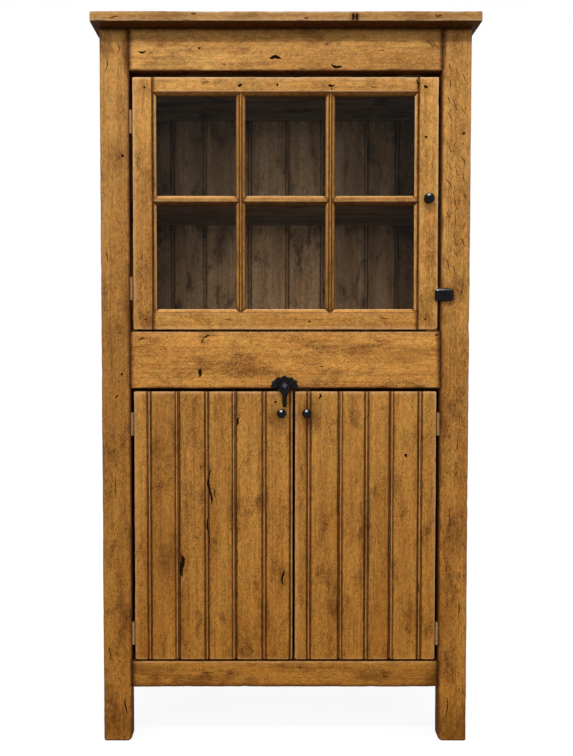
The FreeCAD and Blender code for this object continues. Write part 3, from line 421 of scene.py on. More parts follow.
def window_glass():
    """Clear glass that lets shadow rays through."""
    material, tree = new_material("window_glass")
    pane = add(
        tree, "ShaderNodeBsdfPrincipled", {}, Base_Color=colour("#fcfefd"), Roughness=0.02, IOR=1.5,
        Specular_Tint=(GLASS_SHEEN, GLASS_SHEEN, GLASS_SHEEN, 1.0), Transmission_Weight=1.0,
    )
    clear = add(tree, "ShaderNodeBsdfTransparent", {}, Color=colour("#fafcfb"))
    shadow = add(tree, "ShaderNodeLightPath").outputs["Is Shadow Ray"]
    surface = add(tree, "ShaderNodeMixShader", {}, Fac=shadow, _1=pane.outputs[0], _2=clear.outputs[0])
    add(tree, "ShaderNodeOutputMaterial", {}, Surface=surface.outputs[0])
    return material


WINDOW_GLASS = window_glass()


def linseed_putty():
    """Old putty, cracked and brown with smoke."""
    material, tree = new_material("linseed_putty")
    mix, lumps, _, _ = recipe(tree)
    cracks = lumps(add(tree, "ShaderNodeTexCoord").outputs["Object"], 7.0, 5.0)
    base = mix(cracks, colour("#2a1f16"), colour("#45351f"))
    finish_material(tree, base, 0.75, cracks, 0.5, 0.4)
    return material


LINSEED_PUTTY = linseed_putty()
print("materials:", len(bpy.data.materials))

# %% [markdown]
# ## How a board is drawn
#
# A board is a cross-section swept along its length. A corner of the section is (across, through,
# ease, kind): ease is how far the arris is worn back on each side, in millimetres, and kind says
# what has happened to it: "rubbed" pale, packed with dirt in a "joint" or a "quirk", or neither. A
# smooth random field along the length makes the ease wander, as real wear does, and a few knocks
# take a bite out of it. Past the arris the rub and the dirt fade into the face over a few
# millimetres, which gives each joint its brown halo.
#
# Numpy works on whole arrays, so a board of several thousand points takes a few milliseconds.

# %% Random fields and sections
def waves(points, sizes, seed, count=9):
    """A smooth random field of about -1 to 1 over the points, with lumps of these sizes."""
    rng = np.random.default_rng(seed)
    points = np.asarray(points, float)
    turns = rng.normal(size=(count, points.shape[-1])) * 2.2 / np.asarray(sizes, float)
    phases = rng.uniform(0, 2 * math.pi, count)
    return np.sin(points @ turns.T + phases).sum(-1) / math.sqrt(count)


BEND_STEPS = (0.0, 0.3, 0.65, 1.0)  # where a rounded arris gets its points
HALO = ((2.5, 0.45, 0.44), (9.0, 0.0, 0.48))  # mm past the arris, what is left there, share of the side
FACE_STEP = 16.0  # mm between points across a flat
KINDS = {  # the rubbed colour and the dirt of each kind of corner, and how much of them the halo keeps
    "rubbed": (1.0, 0.12, 1.0), "edge": (0.4, 0.25, 1.0), "gap": (0.1, 0.62, 0.8), "joint": (0.0, 1.0, 1.0),
    "quirk": (0.0, 1.0, 0.3), "bead": (0.45, 0.12, 0.0), "lip": (0.0, 0.95, 0.25), "faint": (0.0, 0.5, 0.2),
    "": (0.0, 0.0, 0.0),
}
KNOCKED = ("rubbed", "edge", "gap")  # the kinds that stick out far enough to be hit


def ease_field(along, ease, seed, knocks):
    """How far one arris is worn back at each place along the board."""
    broad, fine = (waves(along[:, None], [size], seed + n) for n, size in enumerate((70.0, 18.0)))
    wander = 1.0 + 0.45 * broad + 0.25 * fine
    eased = ease * np.clip(wander, 0.35, 2.2)
    rng = np.random.default_rng(seed + 2)
    length = along[-1] - along[0]
    for _ in range(rng.poisson(knocks * length / 1000.0)):
        middle, reach = along[0] + rng.uniform(0, length), rng.uniform(5.0, 16.0)
        eased = eased + ease * rng.uniform(0.6, 1.8) * np.exp(-(((along - middle) / reach) ** 2))
    return eased


def mitres(spots):
    """For each corner of a section, the move that takes both of its sides out by one."""
    sides = np.roll(spots, -1, 0) - spots
    normals = np.stack([sides[:, 1], -sides[:, 0]], -1) / np.hypot(*sides.T)[:, None]
    before = np.roll(normals, 1, 0)
    moves = (normals + before) / np.maximum(1.0 + (normals * before).sum(1), 0.05)[:, None]
    return moves / np.maximum(np.hypot(*moves.T) / 2.0, 1.0)[:, None]


def swept_section(corners, along, seed, knocks):
    """Points (ring, point, 2) of a worn section, and the outward move, rub and dirt of each point."""
    spots = np.array([corner[:2] for corner in corners], float)
    moves = mitres(spots)
    sides = np.roll(spots, -1, 0) - spots
    lengths = np.hypot(*sides.T)
    rows = []
    for index, (_, _, ease, kind) in enumerate(corners):
        rub, dirt_and_shade, kept = KINDS[kind]
        if ease == 0:
            rows.append((np.tile(spots[index], (len(along), 1)), moves[index], rub, dirt_and_shade))
            continue
        room_before, room_after = lengths[index - 1], lengths[index]
        to_before, to_after = -sides[index - 1] / room_before, sides[index] / room_after
        field = ease_field(along, ease, seed + 31 * index, knocks if kind in KNOCKED else 0)
        back = np.minimum(field, 0.4 * min(room_before, room_after))[:, None]

        def halo(towards, room):
            return [
                (
                    spots[index] + towards * np.minimum(back + reach, share * room),
                    moves[index], rub * left * kept, dirt_and_shade * left * kept,
                )
                for reach, left, share in HALO
            ]

        rows += halo(to_before, room_before)[::-1]
        for s in BEND_STEPS:
            bend = to_before * (1 - s) ** 2 + to_after * s**2
            rows.append((spots[index] + back * bend, moves[index], rub, dirt_and_shade))
        rows += halo(to_after, room_after)
    points, move, rub, dirt_and_shade = [], [], [], []
    for index, (ring, outward, worn, soiled_and_shaded) in enumerate(rows):
        following = rows[(index + 1) % len(rows)]
        count = int(np.hypot(*(following[0][0] - ring[0])) // FACE_STEP)
        for step in range(count + 1):
            share = step / (count + 1)
            points.append(ring * (1 - share) + following[0] * share)
            move.append(outward * (1 - share) + following[1] * share)
            rub.append(worn if step == 0 else 0.0)
            dirt_and_shade.append(soiled_and_shaded if step == 0 else 0.0)
    return np.stack(points, 1), np.array(move), np.array(rub), np.array(dirt_and_shade)


# %% [markdown]
# The sweep turns (across, through, along) into x, y and z by the board's direction. Its faces sink
# by a fraction of a millimetre here and there, never outwards, and its ends are eased like its
# edges. `shape` is an optional function that bends the finished points, such as to round a foot.

# %% The sweep
AXES = {"x": (1, 2, 0), "y": (2, 0, 1), "z": (0, 1, 2)}  # which axis across, through and along take
FACE_SAG = 0.35  # mm, how far the faces dish between old plane strokes
END_STEPS = (0.0, 0.25, 0.6, 1.0)
FINE_STEP = 1.8  # mm between rings near an end that is rounded further
RING_STEP = 8.0  # mm between rings of a board that is seen from near
WORN_ENDS, FITTED_ENDS, STANDING_ENDS = ("rubbed", "rubbed"), ("joint", "joint"), ("rubbed", "joint")


def places_along(low, high, end_ease, step, fine):
    """Where the rings go: close together at the two ends, and one at every step between."""
    first = low + end_ease[0] * np.array(END_STEPS)
    last = high - end_ease[1] * np.array(END_STEPS)[::-1]
    inner = np.concatenate([
        low + np.arange(FINE_STEP, max(fine[0], FINE_STEP) + 0.1, FINE_STEP),
        np.linspace(low, high, max(3, int((high - low) / step)) + 1)[1:-1],
        high - np.arange(FINE_STEP, max(fine[1], FINE_STEP) + 0.1, FINE_STEP),
    ])
    inner = np.sort(inner[(inner > first[-1] + 0.6) & (inner < last[0] - 0.6)])
    inner = inner[np.concatenate([[True], np.diff(inner) > 0.7])]
    return np.concatenate([first, inner, last])


def sweep(
    axis, low, high, corners, seed, ends, end_ease, step, knocks, shape=None, scribe=None,
    joints=(), checked=None, sag=FACE_SAG, tone=1.0, stains_shade_and_highlight=(), fine=(0.0, 0.0),
):
    """One board as a dict of arrays: points in mm, faces, and what its material reads.

    ends and end_ease say what has happened to the two ends and by how many mm they are eased, step is the
    room between rings, and knocks is how many bites a metre of arris has taken. fine is how far from each
    end the rings are close together. scribe is an optional function of (across, through) that says how far
    a point of the section stops short of both ends. joints are (from, to, across, through): a stretch along
    the board where the arris at that corner sits against another board. stains are rows of (x, z, half
    width, half height, amount) on the face of the board: dirt, and in some rows painted shade. A row with
    "rub" after it makes the place pale and not soiled: rubbed wood, and in some rows a painted highlight.
    """
    following = list(corners[1:]) + [corners[0]]
    area = sum(a[0] * b[1] - b[0] * a[1] for a, b in zip(corners, following))
    corners = list(corners) if area > 0 else list(corners)[::-1]
    along = places_along(low, high, end_ease, step, fine)
    section, move, rub, soil_and_shade = swept_section(corners, along, seed, knocks)
    rings, around = section.shape[:2]

    solid = np.dstack([section, np.broadcast_to(along[:, None], (rings, around))])
    dish = sag * np.clip(0.5 + 0.5 * waves(solid, [45.0, 45.0, 160.0], seed + 7), 0, 1)
    inset = np.zeros(rings)
    for position, bend in enumerate(END_STEPS):
        inset[position] = end_ease[0] * (1 - bend) ** 2
        inset[rings - 1 - position] = end_ease[1] * (1 - bend) ** 2
    section = section - move * (dish + inset[:, None])[..., None]

    travel = np.broadcast_to(along[:, None], (rings, around)).copy()
    if scribe is not None:
        short = np.array([scribe(u, v) for u, v in section[rings // 2]])
        travel += short[None, :] * (1 - 2 * (along - low) / (high - low))[:, None]
    solid = np.dstack([section, travel])
    if shape is not None:
        solid = shape(solid)

    rub = np.broadcast_to(rub, (rings, around)).copy()
    soil_and_shade = np.broadcast_to(soil_and_shade, (rings, around)).copy()
    for kind, away in zip(ends, (along - low, high - along)):
        if kind == "rubbed":
            rub = np.maximum(rub, np.interp(away, [0, 1.5, 4, 9], [1, 0.9, 0.35, 0])[:, None])
        elif kind == "joint":
            soil_and_shade = np.maximum(soil_and_shade, np.interp(away, [0, 1.0, 4, 12], [1, 0.9, 0.4, 0])[:, None])
    for from_, to, u, v in joints:
        beside = ((along >= from_ - 1) & (along <= to + 1))[:, None]
        away = np.hypot(section[..., 0] - u, section[..., 1] - v)
        soil_and_shade = np.where(beside, np.maximum(soil_and_shade, np.interp(away, [1.5, 4, 12], [1, 0.42, 0])), soil_and_shade)
        rub = np.where(beside & (away < 4), 0.0, rub)

    index = np.arange(rings * around).reshape(rings, around)
    here, beyond = index[:-1], index[1:]
    quads = np.stack([here, np.roll(here, -1, 1), np.roll(beyond, -1, 1), beyond], -1).reshape(-1, 4)
    faces = quads.tolist() + [index[0][::-1].tolist(), index[-1].tolist()]

    flat = solid.reshape(-1, 3)
    points = np.zeros_like(flat)
    for source, target in enumerate(AXES[axis]):
        points[:, target] = flat[:, source]
    values = {"rub": rub.ravel(), "soil_and_shade": soil_and_shade.ravel()}
    facing = points[:, 1] < points[:, 1].min() + 3.0
    for x, z, wide, tall, amount, *kind in stains_shade_and_highlight:
        spot = np.exp(-(((points[:, 0] - x) / wide) ** 2) - ((points[:, 2] - z) / tall) ** 2)
        value = kind[0] if kind else "soil_and_shade"
        values[value] = np.clip(values[value] + amount * spot * facing, 0, 1)
    shift = np.random.default_rng(seed + 99).uniform(-40, 40, 3)
    return {
        "points": points, "faces": faces, "shift": shift, **values,
        "grain": np.stack([flat[:, 2], flat[:, 0], flat[:, 1]], -1) * MM + shift,
        "checked": np.zeros(len(points)) if checked is None else checked(points),
        "tone": np.full(len(points), tone),
    }


# %% [markdown]
# `make_piece` joins one or more swept boards into one object, hides the CAD node that it stands
# for and lets it ride on the same body. What the material reads is stored per face corner, because
# those values survive when a hole is cut later.

# %% From arrays to a piece
pieces = {}  # the drawn objects by the node that each stands for
CORNER_VALUES = ("rub", "soil_and_shade", "checked", "tone")
SMOOTH_BELOW = 38.0  # degrees


def store_corner_values(mesh, boards):
    """Writes what the wood material reads to each corner of each face."""
    at_point = {name: np.concatenate([b[name] for b in boards]) for name in ("grain", *CORNER_VALUES)}
    corner_point = np.empty(len(mesh.loops), np.int32)
    mesh.loops.foreach_get("vertex_index", corner_point)
    grain = mesh.attributes.new("grain", "FLOAT_VECTOR", "CORNER")
    grain.data.foreach_set("vector", at_point["grain"][corner_point].astype(np.float32).ravel())
    for name in CORNER_VALUES:
        values = mesh.attributes.new(name, "FLOAT", "CORNER")
        values.data.foreach_set("value", at_point[name][corner_point].astype(np.float32))


def smooth(mesh, angle=SMOOTH_BELOW):
    """Shades a mesh smooth, apart from its sharp edges."""
    mesh.polygons.foreach_set("use_smooth", [True] * len(mesh.polygons))
    mesh.set_sharp_from_angle(angle=math.radians(angle))


def link_piece(name, mesh, node):
    """An object in the scene that rides on the node's body."""
    piece = bpy.data.objects.new(name, mesh)
    bpy.context.scene.collection.objects.link(piece)
    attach(piece, frame["nodes"][node]["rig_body"])
    return piece


def mesh_of(name, solids):
    """A mesh from (points in mm, faces) pairs."""
    mesh = bpy.data.meshes.new(name)
    points, faces, offset = [], [], 0
    for solid_points, solid_faces in solids:
        points.append(np.asarray(solid_points, float))
        faces += [[i + offset for i in face] for face in solid_faces]
        offset += len(solid_points)
    mesh.from_pydata((np.concatenate(points) * MM).tolist(), [], faces)
    return mesh


def make_piece(node, boards, material):
    """One object from swept boards."""
    mesh = mesh_of(node, [(board["points"], board["faces"]) for board in boards])
    store_corner_values(mesh, boards)
    mesh.materials.append(material)
    smooth(mesh)
    piece = pieces[node] = link_piece(node + "_aged", mesh, node)
    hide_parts(node)


def rectangle(u, v, ease=1.0, kinds="jjjj"):
    """The four corners of a plain section, from low-low round to low-high."""
    names = {"r": "rubbed", "e": "edge", "g": "gap", "j": "joint", "-": ""}
    places = ((u[0], v[0]), (u[1], v[0]), (u[1], v[1]), (u[0], v[1]))
    eases = ease if isinstance(ease, (tuple, list)) else (ease,) * 4
    return [(*place, e, names[k]) for place, e, k in zip(places, eases, kinds)]


def pull_corner(solid, edge, inwards, radius, end, spread):
    """Rounds the corner where an edge meets an end, and fades the move out across the board."""
    across, along = solid[..., 0], solid[..., 2]
    reach = np.clip(radius - np.abs(along - end), 0, radius)
    pull = radius - np.sqrt(np.maximum(radius**2 - reach**2, 0))
    solid[..., 0] = across + inwards * pull * np.clip(1 - np.abs(across - edge) / spread, 0, 1)
    return solid


# %% [markdown]
# ## Top board
#
# One wide board lies over the case and hangs over its front and sides. Its front edge is the most
# handled part of the cupboard, so it is worn the most, and its two front corners are knocked round.

# %% Top board
TOP_CORNER = 7.0  # mm, the round of its two front corners
TOP_SPREAD = 60.0  # mm over which the move of a corner fades out
UNDER_SHADE = 0.62
low, high = extent("top_board")


def round_top_corners(solid, low=low, high=high):
    """Pulls the front edge back near the two ends, along a quarter circle."""
    for end in (low[0], high[0]):
        pull_corner(solid, low[1], 1, TOP_CORNER, end, TOP_SPREAD)
    return solid


section = rectangle((low[1], high[1]), (low[2], high[2]), (2.6, 1.2, 1.2, 3.0), "r-rr")
board = sweep(
    "x", low[0], high[0], section, 11, WORN_ENDS, (3.0, 3.0), RING_STEP, 5.0,
    round_top_corners, tone=0.72, fine=(9, 9),
    stains_shade_and_highlight=[(177, 1906, 11, 12, 0.8), (-300, 1906, 60, 20, 0.25), (330, 1906, 45, 20, 0.3)],
)
# painted shade: the underside of the overhang is darkened
underside = board["points"][:, 2] < low[2] + 0.8
board["soil_and_shade"] = np.maximum(board["soil_and_shade"], UNDER_SHADE * underside)
make_piece("top_board", [board], WAXED_PINE)
print("top board points:", len(pieces["top_board"].data.vertices))

# %% [markdown]
# ## Posts
#
# The two front posts run from the top board to the floor and end in feet. A foot's lower corners
# are worn round, much more on its inner side, where brooms and shoes have caught it. Where a rail
# meets the post, the arris is a dirty joint, and along the door openings it is rubbed. Hands have
# darkened the wood around the turn button, and the sun has dried the right post until its skin
# opened in little slanting cracks.

# %% Posts
FOOT_INNER, FOOT_OUTER = 16.0, 7.0  # mm, the rounds of a foot's two lower corners
DRY_PATCHES = ((1500.0, 330.0, 1.0), (900.0, 260.0, 0.5))  # height, reach up and down, and share
DRY_FROM, DRY_FADE = 405.0, 25.0  # mm, where across the post the cracks start
GAP_FACE_SHADE, FLOOR_DIRT = 0.92, 0.7  # painted shade on the inner side that faces the door gaps and the opening below, and dirt under the feet
POST_TONES = {"left": 0.95, "right": 1.06}
RAIL_NODES = ("top_rail", "middle_rail", "bottom_rail")
# the rows at z 1835 to 1868 paint the shadow of the top board's overhang; the others are stains
POST_STAINS_AND_SHADOW = {
    "left": [
        (-470, 1850, 22, 34, 0.45), (-418, 1835, 9, 60, 0.5), (-448, 1560, 30, 60, 0.36),
        (-462, 1080, 20, 90, 0.34), (-420, 1180, 12, 70, 0.35), (-470, 800, 16, 160, 0.25),
        (-440, 330, 30, 90, 0.25), (-450, 40, 60, 70, 0.34),
    ],
    "right": [
        (430, 1200, 26, 34, 0.45), (470, 1420, 14, 150, 0.25), (445, 1700, 26, 40, 0.2),
        (415, 1850, 8, 60, 0.4), (450, 1868, 50, 16, 0.3), (420, 880, 12, 120, 0.3),
        (455, 560, 26, 90, 0.34), (440, 330, 30, 110, 0.26), (450, 30, 60, 80, 0.42),
    ],
}


def round_foot(side):
    """Narrows the last stretch of a post along a quarter circle at each lower corner."""
    outer, inner = side * abs(POST_LOW[0]), side * OPENING_HALF

    def shape(solid):
        pull_corner(solid, outer, -side, FOOT_OUTER, 0.0, abs(outer - inner))
        return pull_corner(solid, inner, side, FOOT_INNER, 0.0, abs(outer - inner))

    return shape


def open_grain(points):
    """The right post's upper half has dried out: its skin is crazed with fine cracks."""
    x, z = points[:, 0], points[:, 2]
    patch = sum(share * np.exp(-(((z - middle) / reach) ** 2)) for middle, reach, share in DRY_PATCHES)
    return np.clip(patch * np.clip((x - DRY_FROM) / DRY_FADE, 0, 1), 0, 1)


for side, name in ((-1, "left"), (1, "right")):
    node = f"front_post_{name}"
    low, high = extent(node)
    inner = side * OPENING_HALF
    eases = (2.4, 1.6, 1.0, 1.0) if side < 0 else (1.6, 2.4, 1.0, 1.0)
    against = [(extent(rail)[0][2], extent(rail)[1][2], inner, low[1]) for rail in RAIL_NODES]
    kinds = "egjj" if side < 0 else "gejj"
    section = rectangle((low[0], high[0]), (low[1], high[1]), eases, kinds)
    board = sweep(
        "z", low[2], high[2], section, 21 + side, STANDING_ENDS, (2.0, 0.4), RING_STEP, 4.0,
        round_foot(side), joints=against, checked=open_grain if side > 0 else None,
        tone=POST_TONES[name], stains_shade_and_highlight=POST_STAINS_AND_SHADOW[name], fine=(18, 0),
    )
    # painted shade: the face that looks into the door gaps is made nearly black
    in_shade = (np.abs(board["points"][:, 0] - inner) < 1.5) & (board["points"][:, 1] > low[1] + 2.0)
    on_floor = FLOOR_DIRT * (board["points"][:, 2] < 4.0)
    board["soil_and_shade"] = np.where(in_shade, GAP_FACE_SHADE, np.maximum(board["soil_and_shade"], on_floor))
    make_piece(node, [board], WAXED_PINE)
print("posts:", [round(c) for c in POST_HIGH - POST_LOW], "mm each")

# %% [markdown]
# ## Rails
#
# Three rails cross between the posts. Their ends butt the posts with a fine dark line, and the
# arrises beside the doors are worn by years of opening and closing.

# %% Rails
RAIL_SHOULDER = 0.35  # mm of the dark gap at each end
# the full-width row at the top rail's top is painted shadow of the top board, and the one at the bottom
# rail's foot is painted shade; the others are stains
RAIL_STAINS_AND_SHADE = {
    "top_rail": [
        (0, 1873, 900, 16, 0.32), (-300, 1800, 60, 20, 0.2), (80, 1800, 70, 18, 0.2),
        (385, 1850, 20, 30, 0.3),
    ],
    "middle_rail": [
        (-2, 975, 70, 30, 0.3), (-330, 1010, 60, 35, 0.16), (140, 1062, 75, 20, 0.28),
        (330, 1040, 60, 25, 0.2), (-217, 1080, 16, 20, 0.4), (408, 1080, 10, 50, 0.3),
    ],
    "bottom_rail": [
        (0, 148, 900, 11, 0.46), (-380, 196, 70, 14, 0.4), (-200, 172, 90, 12, 0.34),
        (20, 200, 110, 9, 0.3), (250, 180, 120, 12, 0.36), (400, 170, 30, 40, 0.34),
    ],
}
RAILS = (  # node, ease of its arrises, their kinds and its tone
    ("top_rail", (2.0, 1.0, 0.6, 0.8), "gjjj", 1.03),
    # the middle rail's high tone is painted light: it is lit more strongly there than the lamp alone gives
    ("middle_rail", (2.4, 1.0, 1.0, 2.2), "gjje", 1.27),
    ("bottom_rail", (2.2, 1.0, 1.0, 2.0), "ejjr", 1.06),
)
for number, (node, eases, kinds, tone) in enumerate(RAILS):
    low, high = extent(node)
    end = OPENING_HALF - RAIL_SHOULDER
    section = rectangle((low[1], high[1]), (low[2], high[2]), eases, kinds)
    board = sweep(
        "x", -end, end, section, 41 + 10 * number, FITTED_ENDS, (0.8, 0.8), RING_STEP, 6.0,
        tone=tone, stains_shade_and_highlight=RAIL_STAINS_AND_SHADE[node],
    )
    if node != "middle_rail":  # painted shade on the faces that look into the gap at a closed door's edge
        depth, height = board["points"][:, 1], board["points"][:, 2]
        in_shade = low[2] + 1.0 - height if node == "top_rail" else height - high[2] + 1.0
        board["soil_and_shade"] = np.where((in_shade > 0) & (depth > low[1] + 2.4), 1.0, board["soil_and_shade"])
    make_piece(node, [board], WAXED_PINE)
print("rails:", [row[0] for row in RAILS])

# %% [markdown]
# ## Sides
#
# Each side is two boards, tongued together, with an arch cut out below so that the panel stands on
# two feet. The seam is a fine dark line. The arch and the rabbet for the back boards are cut after
# the sweep, because the sweep only knows one section.

# %% Cutting
def cut(piece, cutter_mesh):
    """Cuts a mesh out of a piece, and gives the new faces the cutter's material."""
    cutter = bpy.data.objects.new("cutter", cutter_mesh)
    bpy.context.scene.collection.objects.link(cutter)
    carve = piece.modifiers.new("carve", "BOOLEAN")
    carve.operation = "DIFFERENCE"
    carve.solver = "EXACT"
    carve.material_mode = "TRANSFER"
    carve.object = cutter
    bpy.context.view_layer.update()
    shown = piece.evaluated_get(bpy.context.evaluated_depsgraph_get())
    carved = bpy.data.meshes.new_from_object(shown)
    piece.modifiers.clear()
    if len(carved.polygons) < len(piece.data.polygons) / 2:
        raise RuntimeError(f"the cut of {piece.name} took too much")
    piece.data = carved
    smooth(carved)
    bpy.data.objects.remove(cutter)


def stacked(rings):
    """A solid from equal-length rings of 3-D points, closed at both ends."""
    count = len(rings[0])
    points = np.array([point for ring in rings for point in ring])
    faces = []
    for ring in range(len(rings) - 1):
        for n in range(count):
            a, b = ring * count + n, ring * count + (n + 1) % count
            faces.append((a, b, b + count, a + count))
    faces.append(tuple(range(count))[::-1])
    faces.append(tuple(range((len(rings) - 1) * count, len(rings) * count)))
    return points, faces


def turn_outwards(mesh):
    """Makes the faces of closed solids look outwards."""
    shell = bmesh.new()
    shell.from_mesh(mesh)
    bmesh.ops.recalc_face_normals(shell, faces=shell.faces)
    shell.to_mesh(mesh)
    shell.free()


def prism(outline, first, last, shift):
    """A straight prism along x over an outline in (y, z), ready to cut a board that runs up."""
    points, faces = stacked([[(place, y, z) for y, z in outline] for place in (first, last)])
    zero = np.zeros(len(points))
    grain = np.stack([points[:, 2], points[:, 0], points[:, 1]], -1) * MM + shift
    mesh = mesh_of("prism", [(points, faces)])
    values = {"grain": grain, "rub": zero, "soil_and_shade": zero + 0.2, "checked": zero, "tone": zero + 0.8}
    store_corner_values(mesh, [values])
    mesh.materials.append(WAXED_PINE)
    turn_outwards(mesh)
    return mesh


# %% [markdown]
# A sawn arch leaves two feet on each side. It could be part of the sweep, but an outline cut through
# the finished board keeps the grain whole, and the same cutter makes the rabbet at the back.

# %% Side panels
ARCH_HEIGHT, ARCH_RADIUS, ARCH_STEPS = 105.0, 55.0, 10
FRONT_FOOT, BACK_FOOT = 96.0, 90.0
CUT_PAST = 20.0  # mm that a cutter reaches past the wood
SIDE_THICK = 20.0
RABBET = 8.0  # mm of the side's thickness that the back boards take
TONGUE, TONGUE_THICK = 6.0, 5.0
GROOVE, GROOVE_WIDE = 7.5, 5.3
CASE_BACK = extent("side_left_back_board")[1][1]
BACK_LOW = extent("back_board_1")[0][2]


def arch_outline():
    """The arch in (y, z): straight sides, two round corners and a flat top."""
    first, last = FRAME_FACE + FRONT_FOOT, CASE_BACK - BACK_FOOT
    outline = [(last, -CUT_PAST), (first, -CUT_PAST)]
    for centre, start in ((first + ARCH_RADIUS, 180), (last - ARCH_RADIUS, 90)):
        for step in range(ARCH_STEPS + 1):
            turn = math.radians(start - 90 * step / ARCH_STEPS)
            rise = ARCH_HEIGHT - ARCH_RADIUS + ARCH_RADIUS * math.sin(turn)
            outline.append((centre + ARCH_RADIUS * math.cos(turn), rise))
    return outline


for side, name in ((-1, "left"), (1, "right")):
    outer, inner = side * abs(POST_LOW[0]), side * (abs(POST_LOW[0]) - SIDE_THICK)
    middle = (outer + inner) / 2
    seam = extent(f"side_{name}_back_board")[0][1]
    tongue, groove = side * TONGUE_THICK / 2, side * GROOVE_WIDE / 2
    front = [
        (outer, FRAME_BACK, 0.8, "joint"), (outer, seam, 0.8, "joint"),
        (middle + tongue, seam, 0, ""), (middle + tongue, seam + TONGUE, 0, ""),
        (middle - tongue, seam + TONGUE, 0, ""), (middle - tongue, seam, 0, ""),
        (inner, seam, 0.6, "joint"), (inner, FRAME_BACK, 0.6, "joint"),
    ]
    back = [
        (outer, seam, 0.8, "joint"), (outer, CASE_BACK, 2.0, "rubbed"),
        (inner, CASE_BACK, 1.0, "joint"), (inner, seam, 0.6, "joint"),
        (middle - groove, seam, 0, ""), (middle - groove, seam + GROOVE, 0, ""),
        (middle + groove, seam + GROOVE, 0, ""), (middle + groove, seam, 0, ""),
    ]
    for number, (place, section) in enumerate((("front", front), ("back", back))):
        node = f"side_{name}_{place}_board"
        low, high = extent(node)
        board = sweep(
            "z", low[2], high[2], section, 61 + 5 * number + 3 * side, STANDING_ENDS,
            (1.5, 0.4), 12.0, 3.0, tone=0.9,
        )
        make_piece(node, [board], WAXED_PINE)
        first, last = min(inner, outer) - CUT_PAST, max(inner, outer) + CUT_PAST
        cut(pieces[node], prism(arch_outline(), first, last, board["shift"]))
        if place == "back":
            rabbet_edge = inner + side * RABBET
            corner = [
                (BACK_FACE, BACK_LOW), (CASE_BACK + CUT_PAST, BACK_LOW),
                (CASE_BACK + CUT_PAST, high[2] + CUT_PAST), (BACK_FACE, high[2] + CUT_PAST),
            ]
            past = inner - side * CUT_PAST
            first, last = min(past, rabbet_edge), max(past, rabbet_edge)
            cut(pieces[node], prism(corner, first, last, board["shift"]))
print("side board points:", len(pieces["side_left_front_board"].data.vertices))

# %% [markdown]
# ## Beaded boards
#
# Matchboard hides its joints beside a bead: a small round rib between two sharp quirks. On the
# plank doors the beads face out, one on the edge of a plank and one in its middle, so that narrow
# strips seem to be of many widths. The beads' places are read from the CAD planks, from the points
# at the bottom of their quirks.

# %% Beads read from the frame
BEAD_RADIUS = 3.0
QUIRK_LIP = 2.1  # mm from the rib to the worn lip; the CAD quirk is 1.5 wide
BEAD_STEPS = 6
JOINT_LEAN, JOINT_DEPTH = 3.0, 6.0  # mm that a plank's edge leans away from its neighbour, and how deep


def bead_centres(node, show_face):
    """The x of each bead of a plank, from the quirk bottoms in its mesh."""
    points = np.array([v.co for v in frame["nodes"][node].data.vertices]) / MM
    bottoms = points[np.abs(points[:, 1] - (show_face + BEAD_RADIUS)) < 0.05][:, 0]
    bottoms = sorted({round(float(x), 1) for x in bottoms})
    merged = [x for i, x in enumerate(bottoms) if i == 0 or x - bottoms[i - 1] > 0.3]
    return [(a + b) / 2 for a, b in zip(merged, merged[1:]) if abs(b - a - 2 * BEAD_RADIUS) < 0.25]


def beaded_section(
    node, show_face, flip, groove, tongue, rubbed=(), lean=JOINT_LEAN, quirk_lip=QUIRK_LIP
):
    """A plank's section in (x, y), from its grooved edge to its tongued one, with a rib at each bead.

    flip is -1 for planks that are laid from right to left. groove and tongue say which edges it
    has. rubbed names the edges, "first" and "last", that hands reach. The quirk of a rib that stands at
    the joint is half filled with wax, because the joint itself took the dirt."""
    low, high = extent(node)
    first = low[0] if flip > 0 else high[0]
    width = high[0] - low[0] - (TONGUE if tongue else 0.0)
    back, middle, r = high[1], (show_face + high[1]) / 2, BEAD_RADIUS
    kinds = {edge: "rubbed" if edge in rubbed else "joint" for edge in ("first", "last")}
    corners = [(0.0, show_face, 1.4, kinds["first"])]
    if groove:  # the plank's edge leans away from its neighbour, so the joint is a wide dark line
        corners = [(0.0, show_face + JOINT_DEPTH, 0, "quirk"), (lean, show_face, 1.0, "quirk")]
    beads = sorted(flip * (x - first) for x in bead_centres(node, show_face))
    for centre in beads:
        at_joint = tongue and centre + r > width - 1.0
        lip = 0.6 * quirk_lip if at_joint else quirk_lip
        lip_kind, floor_kind = ("faint", "lip") if at_joint else ("lip", "quirk")
        corners.append((centre - r - lip, show_face, 0.7, lip_kind))
        corners.append((centre - r, show_face + r, 0, floor_kind))
        for step in range(1, BEAD_STEPS):
            turn = math.pi * (1 - step / BEAD_STEPS)
            kind = "bead" if 0.25 < step / BEAD_STEPS < 0.75 else "lip"
            across, depth = r * math.cos(turn), r - r * math.sin(turn)
            corners.append((centre + across, show_face + depth, 0, kind))
        corners.append((centre + r, show_face + r, 0, "quirk"))
        if centre + r < width - 1.0:
            corners.append((centre + r + quirk_lip, show_face, 0.7, "lip"))
    if not beads or beads[-1] + r < width - 1.0:
        corners.append((width, show_face, 2.0, kinds["last"]))
    if tongue:
        half = TONGUE_THICK / 2
        ring = ((0, -half), (TONGUE, -half), (TONGUE, half), (0, half))
        corners += [(width + s, middle + t, 0, "") for s, t in ring]
    corners += [(width, back, 0.8, "joint"), (0.0, back, 0.8, "joint")]
    if groove:
        half = GROOVE_WIDE / 2
        ring = ((0, half), (GROOVE, half), (GROOVE, -half), (0, -half))
        corners += [(s, middle + t, 0, "") for s, t in ring]
    return [(first + flip * s, y, ease, kind) for s, y, ease, kind in corners]


# %% [markdown]
# ## Plank doors
#
# Each door is three planks on two ledges. The planks' lower corners are rubbed round at the joints, and
# their top ends are pale: rubbed by fingers that reach over them, and with a painted highlight where the
# top arris faces the lamp.

